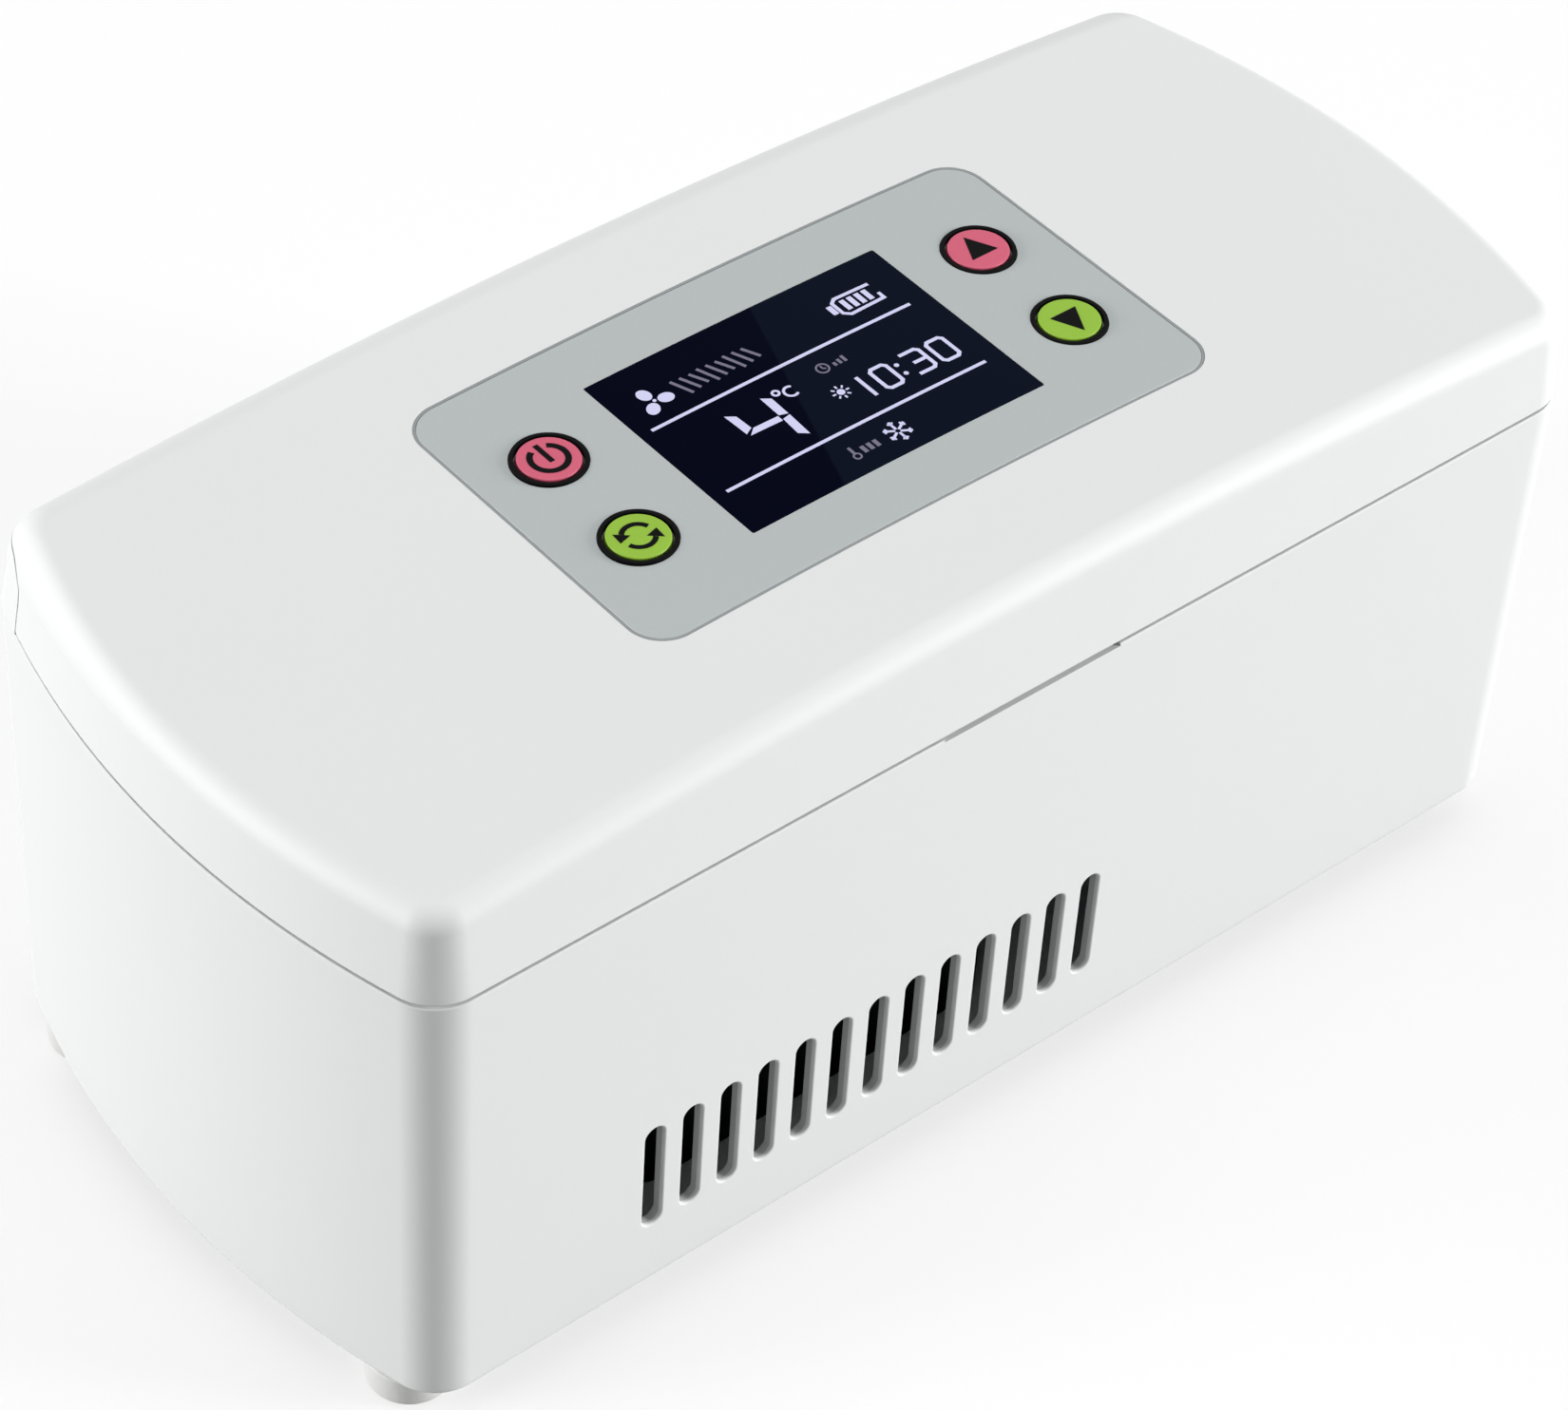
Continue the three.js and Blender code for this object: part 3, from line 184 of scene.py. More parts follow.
class CaseColours(bpy.types.PropertyGroup):
    """Colours of the finishes"""

    shell: colour("Shell", "White of the outer shells", "#E8EAE9")
    liner: colour("Liner", "White of the inner deck and the lid's lining", "#EFEFED")
    panel: colour("Panel", "Grey of the control panel", "#B3B9B9")
    lens: colour("Display", "Dark field of the display", "#000317")
    # The display's lighter field is a painted reflection, laid into its base colour
    lens_light: colour("Display, lit side", "Lighter field on the display's right", "#0A1122")
    glyph: colour("Display marks", "Lit marks of the display", "#C9C9EA")
    glyph_dim: colour("Dim marks", "Faint marks of the display", "#6A667C")
    red: colour("Red keys", "Caps of the power key and the up key", "#D25B75")
    green: colour("Green keys", "Caps of the auto key and the down key", "#90BD30")
    black: colour("Black", "Trim rings, symbols and black mouldings", "#070708")
    # The insert's pale grey, darker than the shell, is painted shade on the slots' inner walls
    insert: colour("Vent insert", "Pale grey of the insert behind the vents", "#C2C3C3")
    foot: colour("Feet", "Rubber of the feet", "#E2E2E0")
    # The panel's bead takes this grey as painted shade in the groove round the panel
    seal: colour("Seal", "Silicone of the lid's gasket and the panel's bead", "#8F9496")
    foam: colour("Foam", "Insulation foam", "#F0EFEA")
    ceramic: colour("Ceramic", "Plates of the thermoelectric module", "#F2F1ED")
    cell: colour("Cells", "Sleeves of the battery cells", "#2F6FB0")
    board: colour("Boards", "Solder mask of the circuit boards", "#1E5A3A")
    aluminium: colour("Aluminium", "Chamber, block and heat sink", "#C9CCCE")
    steel: colour("Steel", "Screws, pins and magnets", "#A9ACAE")


# Outlines in plan, each as a quarter from the middle of the front to the middle of the right end

def arc(centre, radius, start, stop, steps):
    """Points along an arc, both ends included."""
    angles = [start + (stop - start) * i / steps for i in range(steps + 1)]
    return [(centre[0] + radius * math.cos(a), centre[1] + radius * math.sin(a)) for a in angles]


def case_quarter(sizes, inset=0.0):
    """A straight front, a rounded corner and half of a bowed end, drawn in by the inset."""
    end_r = (HALF_D ** 2 + sizes.end_bow ** 2) / (2 * sizes.end_bow)
    end_x = HALF_L - end_r
    corner_y = HALF_D - sizes.corner
    reach = end_r - sizes.corner
    corner_x = end_x + math.sqrt(reach ** 2 - corner_y ** 2)
    turn = math.asin(corner_y / reach)
    front = [(corner_x * i / FRONT_STEPS, inset - HALF_D) for i in range(FRONT_STEPS)]
    corner = arc((corner_x, -corner_y), sizes.corner - inset, -QUARTER_TURN, -turn, CORNER_STEPS)
    end = arc((end_x, 0), end_r - inset, -turn, 0, END_STEPS)
    return front + corner + end[1:]


def box_quarter(half_x, half_y, radius, inset=0.0):
    """A rectangle with rounded corners, drawn in by the inset."""
    corner_x = half_x - radius
    corner_y = half_y - radius
    front = [(corner_x * i / FRONT_STEPS, inset - half_y) for i in range(FRONT_STEPS)]
    corner = arc((corner_x, -corner_y), radius - inset, -QUARTER_TURN, 0, CORNER_STEPS)
    return front + corner + [(half_x - inset, 0)]


def loop_of(quarter):
    """The whole outline of a quarter, anticlockwise from the middle of the front."""
    half = quarter + [(x, -y) for x, y in reversed(quarter[:-1])]
    return half[:-1] + [(-x, -y) for x, y in half[:-1]]


def box_at(centre, half_x, half_y, radius):
    """The whole outline of a rectangle with rounded corners round a centre."""
    return [(centre[0] + x, centre[1] + y) for x, y in loop_of(box_quarter(half_x, half_y, radius))]


def ring(quarter, height, centre=(0, 0)):
    """An outline at a height, which may be a function of x."""
    level = height if callable(height) else lambda x: height
    return [(centre[0] + x, centre[1] + y, level(x)) for x, y in loop_of(quarter)]


def crown_of(sizes, lift=0.0):
    """Height of the lid's arched top at x, raised by the lift."""
    return lambda x: LID_TOP + lift - sizes.crown + math.sqrt(sizes.crown ** 2 - x ** 2)


def fillet(inset_from, level_from, radius, out=True, up=True, back=False):
    """Quarter round as pairs of an inset and a height, from its upright side to its flat side, or back."""
    pairs = []
    for i in range(EDGE_STEPS + 1):
        angle = QUARTER_TURN * i / EDGE_STEPS
        inset = radius * (1 - math.cos(angle)) * (1 if out else -1)
        rise = radius * math.sin(angle) * (1 if up else -1)
        pairs.append((inset_from + inset, level_from + rise))
    return pairs[::-1] if back else pairs


# Meshes

def link(name, data):
    """Puts a new object with its data in the scene."""
    piece = bpy.data.objects.new(name, data)
    bpy.context.scene.collection.objects.link(piece)
    return piece


def close_up(mesh):
    """Joins double points and turns all faces outwards."""
    work = bmesh.new()
    work.from_mesh(mesh)
    bmesh.ops.remove_doubles(work, verts=work.verts, dist=JOIN_NEW)
    bmesh.ops.recalc_face_normals(work, faces=work.faces)
    work.to_mesh(mesh)
    work.free()


def new_piece(name, points, faces):
    """A closed mesh with its faces pointing outwards."""
    mesh = bpy.data.meshes.new(name)
    mesh.from_pydata(points, [], faces)
    close_up(mesh)
    return link(name, mesh)


def skin(rings, closed=False):
    """Points, and the faces between neighbouring rings. A closed skin bends back into its first ring."""
    count = len(rings[0])
    points = [point for outline in rings for point in outline]
    faces = []
    for r in range(len(rings) if closed else len(rings) - 1):
        low = r * count
        high = (r + 1) % len(rings) * count
        for i in range(count):
            j = (i + 1) % count
            faces.append((low + i, low + j, high + j, high + i))
    return points, faces


def loft(name, rings, closed=False):
    """A skin over rings of outlines. A closed one is a wall with an inner and an outer face. An open one has
    a ladder of faces across its first and its last ring."""
    points, faces = skin(rings, closed)
    count = len(rings[0])
    half = count // 2
    for end in () if closed else (0, len(points) - count):
        for side in (0, half):
            for i in range(half // 2):
                rung = [side + i, side + i + 1, side + half - i - 1, (side + half - i) % count]
                faces.append(tuple(end + k for k in dict.fromkeys(rung)))
    return new_piece(name, points, faces)


def layered(name, outline, section, centre=(0, 0), closed=False):
    """A loft of one outline, a function of its inset, at pairs of an inset and a height."""
    return loft(name, [ring(outline(inset), height, centre) for inset, height in section], closed)


def soft_block(name, centre, half_x, half_y, corner, low, high, soft):
    """A block with rounded upright corners and softened edges below and above."""
    section = [(soft, low), (0, low + soft), (0, high - soft), (soft, high)]
    return layered(name, partial(box_quarter, half_x, half_y, corner), section, centre)


def tube(name, rings):
    """A skin over rings of points with one flat face at each end."""
    points, faces = skin(rings)
    count = len(rings[0])
    ends = [tuple(range(count)), tuple(range(len(points) - count, len(points)))]
    return new_piece(name, points, faces + ends)


def prism(name, outline, axis, low, high):
    """An outline carried along an axis. It is drawn in YZ along x, in XZ along y and in XY along z."""
    place = {
        "x": lambda u, v, w: (w, u, v),
        "y": lambda u, v, w: (u, w, v),
        "z": lambda u, v, w: (u, v, w),
    }[axis]
    return tube(name, [[place(u, v, w) for u, v in outline] for w in (low, high)])


def block(name, low, high):
    """A plain box between two corners."""
    outline = [(low[0], low[1]), (high[0], low[1]), (high[0], high[1]), (low[0], high[1])]
    return prism(name, outline, "z", low[2], high[2])


def lathe(name, profile, centre=(0, 0), steps=ROUND_STEPS):
    """A profile of radius and height pairs, turned about an upright axis. Zero radius is a pole."""
    points = []
    rings = []
    for radius, height in profile:
        count = steps if radius > 0 else 1
        rings.append(range(len(points), len(points) + count))
        for i in range(count):
            angle = 2 * math.pi * i / steps
            x = centre[0] + radius * math.cos(angle)
            points.append((x, centre[1] + radius * math.sin(angle), height))
    faces = []
    for low, high in zip(rings, rings[1:]):
        for i in range(steps):
            j = (i + 1) % steps
            corners = [low[i % len(low)], low[j % len(low)], high[j % len(high)], high[i % len(high)]]
            corners = tuple(dict.fromkeys(corners))
            if len(corners) > 2:
                faces.append(corners)
    return new_piece(name, points, faces)


def rod(name, radius, low, high, centre=(0, 0), steps=ROUND_STEPS):
    """An upright cylinder between two heights."""
    return lathe(name, [(0, low), (radius, low), (radius, high), (0, high)], centre, steps)


def turn_to(piece, axis, place):
    """Lays a piece that was turned about z along x or y, and moves it; its place goes into its mesh."""
    turn = {"x": Matrix.Rotation(QUARTER_TURN, 4, "Y"), "y": Matrix.Rotation(-QUARTER_TURN, 4, "X")}
    piece.data.transform(Matrix.Translation(place) @ turn[axis])
    return piece


def shift(piece, place):
    """Moves a piece's mesh, so that the object stays at the origin."""
    piece.data.transform(Matrix.Translation(place))
    return piece


def settle(piece):
    """Makes a piece with modifiers a plain mesh."""
    graph = bpy.context.evaluated_depsgraph_get()
    old = piece.data
    mesh = bpy.data.meshes.new_from_object(
        piece.evaluated_get(graph), preserve_all_data_layers=True, depsgraph=graph,
    )
    piece.modifiers.clear()
    piece.data = mesh
    bpy.data.meshes.remove(old)
    mesh.name = piece.name
    return piece


def carve(piece, tool, operation="DIFFERENCE"):
    """Cuts a piece with a tool, or joins them, and removes the tool."""
    cut = piece.modifiers.new("cut", "BOOLEAN")
    cut.solver = "EXACT"
    cut.operation = operation
    cut.object = tool
    settle(piece)
    old = tool.data
    bpy.data.objects.remove(tool)
    bpy.data.meshes.remove(old)
    if not piece.data.polygons:
        raise RuntimeError(f"nothing is left of {piece.name} after a cut")
    return piece


def dress(context, piece, body, slot, *nodes, finish=None):
    """Gives a finished piece even shading and its finish, puts it on its body and hides the nodes that it
    stands for.
    The finish is the slot's own unless another is named."""
    mesh = piece.data
    work = bmesh.new()
    work.from_mesh(mesh)
    bmesh.ops.remove_doubles(work, verts=work.verts, dist=JOIN_DONE)
    bmesh.ops.dissolve_degenerate(work, edges=work.edges, dist=SHORTEST_EDGE)
    work.to_mesh(mesh)
    work.free()
    mesh.materials.clear()
    mesh.materials.append(finish_of(context, finish or slot))
    mesh.shade_smooth()
    mesh.set_sharp_from_angle(angle=CREASE)
    even = piece.modifiers.new("even_shading", "WEIGHTED_NORMAL")
    even.keep_sharp = True
    settle(piece)
    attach(piece, body)
    if nodes:
        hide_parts(*nodes)
    return piece


# Geometry node trees for what repeats or follows a path

def add_node(tree, kind, inputs=None, **settings):
    """Adds a node with its settings. An input that is a socket is linked, any other value is set."""
    node = tree.nodes.new(kind)
    for name, value in settings.items():
        setattr(node, name, value)
    for name, value in (inputs or {}).items():
        if isinstance(value, bpy.types.NodeSocket):
            tree.links.new(value, node.inputs[name])
        else:
            node.inputs[name].default_value = value
    return node


def new_tree(name, **sockets):
    """A geometry tree with named inputs and a material; gives the tree and its inputs."""
    tree = bpy.data.node_groups.new(name, "GeometryNodeTree")
    tree.interface.new_socket("Geometry", in_out="OUTPUT", socket_type="NodeSocketGeometry")
    tree.interface.new_socket("Geometry", in_out="INPUT", socket_type="NodeSocketGeometry")
    for socket, kind in {**sockets, "Material": "Material"}.items():
        tree.interface.new_socket(socket, in_out="INPUT", socket_type="NodeSocket" + kind)
    return tree, add_node(tree, "NodeGroupInput").outputs


def end_tree(tree, given, geometry):
    """Realizes what a tree made, sets its material and puts it out."""
    real = add_node(tree, "GeometryNodeRealizeInstances", {"Geometry": geometry})
    finish = {"Geometry": real.outputs[0], "Material": given["Material"]}
    painted = add_node(tree, "GeometryNodeSetMaterial", finish)
    add_node(tree, "NodeGroupOutput", {"Geometry": painted.outputs[0]})
    return tree


def end_copies(tree, given, points, **turn):
    """Puts a copy of the given shape on each point, and ends the tree."""
    copies = {"Points": points, "Instance": given["Geometry"], **turn}
    placed = add_node(tree, "GeometryNodeInstanceOnPoints", copies)
    return end_tree(tree, given, placed.outputs[0])


def row_tree():
    """Copies of a shape in a straight row, with the shape at the row's middle."""
    tree, given = new_tree("Row of copies", Count="Int", Step="Vector")
    gaps = add_node(tree, "ShaderNodeMath", {0: given["Count"], 1: 1.0}, operation="SUBTRACT")
    back = add_node(tree, "ShaderNodeMath", {0: gaps.outputs[0], 1: -0.5}, operation="MULTIPLY")
    half = {0: given["Step"], "Scale": back.outputs[0]}
    first = add_node(tree, "ShaderNodeVectorMath", half, operation="SCALE")
    line = {"Count": given["Count"], "Start Location": first.outputs[0], "Offset": given["Step"]}
    return end_copies(tree, given, add_node(tree, "GeometryNodeMeshLine", line).outputs[0])


def corner_tree():
    """Copies of a shape at the four corners of a rectangle, with the shape at its middle."""
    tree, given = new_tree("Four corners", Across="Float", Deep="Float")
    spread = {"Size X": given["Across"], "Size Y": given["Deep"], "Vertices X": 2, "Vertices Y": 2}
    return end_copies(tree, given, add_node(tree, "GeometryNodeMeshGrid", spread).outputs["Mesh"])


def wheel_tree():
    """Copies of a shape turned about the upright axis through the origin."""
    tree, given = new_tree("Wheel of copies", Count="Int")
    points = add_node(tree, "GeometryNodeMeshLine", {"Count": given["Count"], "Offset": (0, 0, 0)})
    index = add_node(tree, "GeometryNodeInputIndex")
    place = {0: index.outputs[0], 1: given["Count"]}
    share = add_node(tree, "ShaderNodeMath", place, operation="DIVIDE")
    angle = add_node(tree, "ShaderNodeMath", {0: share.outputs[0], 1: 2 * math.pi}, operation="MULTIPLY")
    turn = add_node(tree, "ShaderNodeCombineXYZ", {"Z": angle.outputs[0]})
    return end_copies(tree, given, points.outputs[0], Rotation=turn.outputs[0])


def gasket_tree():
    """A bead swept round a rectangle with rounded corners. The bead's section comes in as a mesh loop."""
    tree, given = new_tree("Gasket", Across="Float", Deep="Float", Corner="Float")
    size = {"Width": given["Across"], "Height": given["Deep"]}
    path = add_node(tree, "GeometryNodeCurvePrimitiveQuadrilateral", size, mode="RECTANGLE")
    bend = {"Curve": path.outputs[0], "Radius": given["Corner"], "Count": CORNER_STEPS}
    rounded = add_node(tree, "GeometryNodeFilletCurve", bend, mode="POLY")
    section = add_node(tree, "GeometryNodeMeshToCurve", {"Mesh": given["Geometry"]})
    sweep = {"Curve": rounded.outputs[0], "Profile Curve": section.outputs[0]}
    return end_tree(tree, given, add_node(tree, "GeometryNodeCurveToMesh", sweep).outputs[0])


TREES = {}


def grow(piece, make_tree, **values):
    """Runs a piece through a node tree with the given inputs and keeps the result as a plain mesh."""
    name = make_tree.__name__
    if name not in TREES:
        TREES[name] = make_tree()
    tree = TREES[name]
    nodes = piece.modifiers.new("grow", "NODES")
    nodes.node_group = tree
    for item in tree.interface.items_tree:
        if item.in_out == "INPUT" and item.name in values:
            nodes[item.identifier] = values[item.name]
    settle(piece)
    piece.data.materials.clear()
    return piece


def middle_of(node):
    """Middle of a node's box."""
    low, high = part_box(node)
    return (low + high) / 2


def top_of(node):
    """Height of a node's top."""
    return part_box(node)[1].z


def four(name):
    """Names of four like nodes at the corners."""
    return [f"{name}_{corner}" for corner in CORNER_NAMES]


def at_corners(piece, name, **finish):
    """Copies of a piece at the places of four like nodes."""
    low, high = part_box(name + "_rear_right")
    return grow(piece, corner_tree, Across=low.x + high.x, Deep=low.y + high.y, **finish)


def in_pair(piece, name, **finish):
    """Two copies of a piece at the places of a left and a right node."""
    low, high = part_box(name + "_right")
    return grow(piece, row_tree, Count=2, Step=(low.x + high.x, 0, 0), **finish)


# Finishes

def new_finish(name, **surface):
    """A material with a principled shader; gives its tree, its shader and its object coordinates."""
    material = bpy.data.materials.new(name)
    material.use_nodes = True
    tree = material.node_tree
    shader = tree.nodes["Principled BSDF"]
    for socket, value in surface.items():
        shader.inputs[socket.replace("_", " ")].default_value = value
    place = add_node(tree, "ShaderNodeTexCoord").outputs["Object"]
    return tree, shader, place


def blend(tree, shader, pattern, first, second):
    """Lets a pattern lead the base colour from one colour to another."""
    colours = {MIX_FACTOR: pattern, MIX_FIRST: (*first, 1), MIX_SECOND: (*second, 1)}
    mix = add_node(tree, "ShaderNodeMix", colours, data_type="RGBA")
    tree.links.new(mix.outputs[MIX_RESULT], shader.inputs["Base Color"])


def tint(tree, shader, pattern, rgb, spread):
    """Lets a pattern vary the base colour by a share either way."""
    darker = [c * (1 - spread) for c in rgb]
    lighter = [min(1.0, c * (1 + spread)) for c in rgb]
    blend(tree, shader, pattern, darker, lighter)


def roughen(tree, shader, pattern, low, high):
    """Lets a pattern vary the roughness between two values."""
    scale = {"Value": pattern, "To Min": low, "To Max": high}
    spread = add_node(tree, "ShaderNodeMapRange", scale)
    tree.links.new(spread.outputs[0], shader.inputs["Roughness"])


def emboss(tree, shader, pattern, depth):
    """Lets a pattern raise the surface by a depth in metres."""
    bump = add_node(tree, "ShaderNodeBump", {"Height": pattern, "Distance": depth, "Strength": 1.0})
    tree.links.new(bump.outputs[0], shader.inputs["Normal"])


def soft_spots(tree, place, size, detail=2.0, stretch=None):
    """Soft spots of a size in metres, stretched by a factor along each axis if one is given."""
    if stretch:
        place = add_node(tree, "ShaderNodeMapping", {"Vector": place, "Scale": stretch}).outputs[0]
    spots = {"Vector": place, "Scale": 1 / size, "Detail": detail}
    return add_node(tree, "ShaderNodeTexNoise", spots).outputs["Fac"]


def grained(name, rgb, grain, spread, rough, depth, flow=None, **surface):
    """A finish whose grain varies its colour, roughness and height. Grain is a size, a detail and a stretch.
    A flow, given the same way, varies the colour in its place."""
    tree, shader, place = new_finish(name, **surface)
    fine = soft_spots(tree, place, *grain)
    tint(tree, shader, soft_spots(tree, place, *flow) if flow else fine, rgb, spread)
    roughen(tree, shader, fine, *rough)
    emboss(tree, shader, fine, depth)
    return bpy.data.materials[name]


def moulded_abs(name, rgb, roughness, sheen=0.5):
    # ABS from a spark-eroded mould: an even soft sheen, weaker where the mould was blasted matte. The real
    # grain is about 0.05 mm, too fine to show, so it is drawn at about a millimetre and kept very low
    rough = (roughness - 0.03, roughness + 0.03)
    surface = {"IOR": 1.53, "Specular_IOR_Level": sheen}
    return grained(
        name, rgb, grain=(0.9 * MM, 3), spread=0.006, rough=rough, depth=0.006 * MM, flow=(45 * MM,),
        **surface,
    )


def printed_film(name, rgb):
    # Silver-grey ink behind a matte polycarbonate film: flat, with a metallic flake that sparkles a little.
    # Real flakes are about 0.03 mm and are drawn at half a millimetre
    tree, shader, place = new_finish(name, IOR=1.58)
    flake = soft_spots(tree, place, 0.5 * MM, detail=4)
    tint(tree, shader, flake, rgb, 0.03)
    roughen(tree, shader, flake, 0.38, 0.5)
    emboss(tree, shader, soft_spots(tree, place, 0.8 * MM), 0.004 * MM)
    return bpy.data.materials[name]


def display_acrylic(name, dark, light):
    # Acrylic over a dark display, with a coating that takes most of its mirror image away: deep navy,
    # smooth. A slanted lighter field on its right, from the front edge left of the middle to the rear, is a
    # painted reflection in the base colour
    tree, shader, place = new_finish(name, IOR=1.49, Roughness=0.09, Specular_IOR_Level=0.015)
    rise = 33.2
    run = 12.1
    edge_left = -2.9 * MM
    edge_right = -2.4 * MM
    # Mask of the painted reflection: a soft slanted edge, beyond which the base colour turns lighter
    turn = {"Vector": place, "Rotation": (0, 0, QUARTER_TURN - math.atan2(rise, run))}
    turned = add_node(tree, "ShaderNodeMapping", turn)
    across = add_node(tree, "ShaderNodeSeparateXYZ", {"Vector": turned.outputs[0]})
    edge = {"Value": across.outputs["X"], "From Min": edge_left, "From Max": edge_right}
    side = add_node(tree, "ShaderNodeMapRange", edge, interpolation_type="SMOOTHSTEP")
    blend(tree, shader, side.outputs[0], dark, light)
    emboss(tree, shader, soft_spots(tree, place, 12 * MM), 0.003 * MM)
    return bpy.data.materials[name]


def lit_segment(name, rgb, glow):
    # Backlit liquid crystal: a flat pale light with faint unevenness from the lamp behind it
    surface = {"Emission_Color": (*rgb, 1), "Emission_Strength": glow}
    tree, shader, place = new_finish(name, IOR=1.49, Roughness=0.3, **surface)
    tint(tree, shader, soft_spots(tree, place, 3 * MM), rgb, 0.06)
    return bpy.data.materials[name]


def key_plastic(name, rgb):
    # Dyed ABS key cap, printed and lacquered: clear colour with a silky gloss and faint mould flow
    surface = {"IOR": 1.53, "Specular_IOR_Level": 0.35, "Coat_Weight": 0.06, "Coat_Roughness": 0.25}
    return grained(
        name, rgb, grain=(0.7 * MM, 3), spread=0.03, rough=(0.4, 0.5), depth=0.006 * MM, flow=(4 * MM,),
        **surface,
    )


def rubber(name, rgb, roughness):
    # Moulded rubber: dull, a little uneven in tone, with a fine dry grain
    rough = (roughness - 0.08, roughness + 0.06)
    return grained(
        name, rgb, grain=(0.6 * MM, 4), spread=0.025, rough=rough, depth=0.02 * MM,
        IOR=1.52, Sheen_Weight=0.1,
    )


def closed_cell_foam(name, rgb):
    # Cut polyethylene foam: matte and pitted by its cells, which are about 1.2 mm across
    tree, shader, place = new_finish(name, IOR=1.5, Roughness=0.85)
    cells = add_node(tree, "ShaderNodeTexVoronoi", {"Vector": place, "Scale": 1 / (1.2 * MM)})
    tint(tree, shader, cells.outputs["Distance"], rgb, 0.05)
    emboss(tree, shader, cells.outputs["Distance"], 0.2 * MM)
    return bpy.data.materials[name]


def alumina(name, rgb):
    # Fired alumina plates: chalky white with faint grey speckle
    return grained(
        name, rgb, grain=(0.5 * MM, 5), spread=0.03, rough=(0.5, 0.62), depth=0.01 * MM, IOR=1.76,
    )


def shrink_sleeve(name, rgb):
    # Shrunk PVC sleeve: glossy, with long shallow wrinkles along the cell
    wrinkle = (2.5 * MM, 2, (0.15, 1, 1))
    return grained(
        name, rgb, grain=wrinkle, spread=0.04, rough=(0.22, 0.34), depth=0.05 * MM, IOR=1.54,
    )


def circuit_board(name, rgb):
    # Solder mask over copper: green with slightly lighter, raised tracks about 2.5 mm apart
    tree, shader, place = new_finish(name, IOR=1.55)
    track = {"Vector": place, "Scale": 1 / (16 * MM), "Distortion": 6.0, "Detail": 0.0}
    tracks = add_node(tree, "ShaderNodeTexWave", track, wave_profile="SIN").outputs["Fac"]
    tint(tree, shader, tracks, rgb, 0.25)
    roughen(tree, shader, soft_spots(tree, place, 1.5 * MM), 0.28, 0.4)
    emboss(tree, shader, tracks, 0.04 * MM)
    return bpy.data.materials[name]


def worked_aluminium(name, rgb, stretch, roughness):
    # Anodised aluminium, drawn or extruded: a satin metal with fine lines along the way it was worked.
    # Real lines are about 0.05 mm apart and are drawn at half a millimetre
    rough = (roughness - 0.07, roughness + 0.08)
    return grained(
        name, rgb, grain=(0.5 * MM, 4, stretch), spread=0.05, rough=rough, depth=0.01 * MM, Metallic=1.0,
    )


def plated_steel(name, rgb):
    # Nickel-plated steel: bright, with faint clouding and handling marks
    return grained(
        name, rgb, grain=(1.5 * MM, 4), spread=0.06, rough=(0.2, 0.34), depth=0.008 * MM, Metallic=1.0,
    )


ALONG_X = (0.04, 1, 1)
ALONG_Y = (1, 0.04, 1)

# Each finish: its maker, its material's name and the maker's values. A text among these names a colour
FINISHES = {
    "white_abs": (moulded_abs, "white_moulded_abs", "shell", 0.58, 0.35),
    "liner_abs": (moulded_abs, "white_liner_abs", "liner", 0.34),
    "black_abs": (moulded_abs, "black_moulded_abs", "black", 0.55, 0.04),
    "insert_abs": (moulded_abs, "grey_insert_abs", "insert", 0.55, 0.3),
    "panel_film": (printed_film, "silver_printed_film", "panel"),
    "display_lens": (display_acrylic, "dark_display_acrylic", "lens", "lens_light"),
    "display_mark": (lit_segment, "lit_display_segment", "glyph", 0.15),
    "display_dim": (lit_segment, "dim_display_segment", "glyph_dim", 0.05),
    "red_key": (key_plastic, "red_key_abs", "red"),
    "green_key": (key_plastic, "green_key_abs", "green"),
    "foot_rubber": (rubber, "white_foot_rubber", "foot", 0.62),
    # The lid's gasket is silicone; the panel's bead takes the same finish as painted shade in its groove
    "seal_silicone": (rubber, "grey_seal_silicone", "seal", 0.5),
    "foam": (closed_cell_foam, "white_insulation_foam", "foam"),
    "ceramic": (alumina, "white_alumina", "ceramic"),
    "cell_wrap": (shrink_sleeve, "blue_shrink_sleeve", "cell"),
    "circuit_board": (circuit_board, "green_circuit_board", "board"),
    "drawn_aluminium": (worked_aluminium, "drawn_aluminium", "aluminium", ALONG_X, 0.36),
    "extruded_aluminium": (worked_aluminium, "extruded_aluminium", "aluminium", ALONG_Y, 0.4),
    "steel": (plated_steel, "nickel_plated_steel", "steel"),
}
MADE = {}


def finish_of(context, name):
    """The finish of that name, made the first time it is asked for."""
    if name not in MADE:
        make, material, *values = FINISHES[name]
        colours = context.scene.case_colours
        MADE[name] = make(material, *[getattr(colours, v) if isinstance(v, str) else v for v in values])
    return MADE[name]


def repaint(context, finish, *nodes):
    """Gives carried-over nodes of the frame a finish."""
    material = finish_of(context, finish)
    for name in nodes:
        for slot in frame["nodes"][name].material_slots:
            slot.material = material


# Shared forms

def stadium(width, height, wider=0.0):
    """Outline of an upright slot with round ends, centred on its middle."""
    radius = width / 2 + wider
    reach = (height - width) / 2
    low = arc((0, -reach), radius, -math.pi, 0, SLOT_STEPS)
    return low + arc((0, reach), radius, 0, math.pi, SLOT_STEPS)


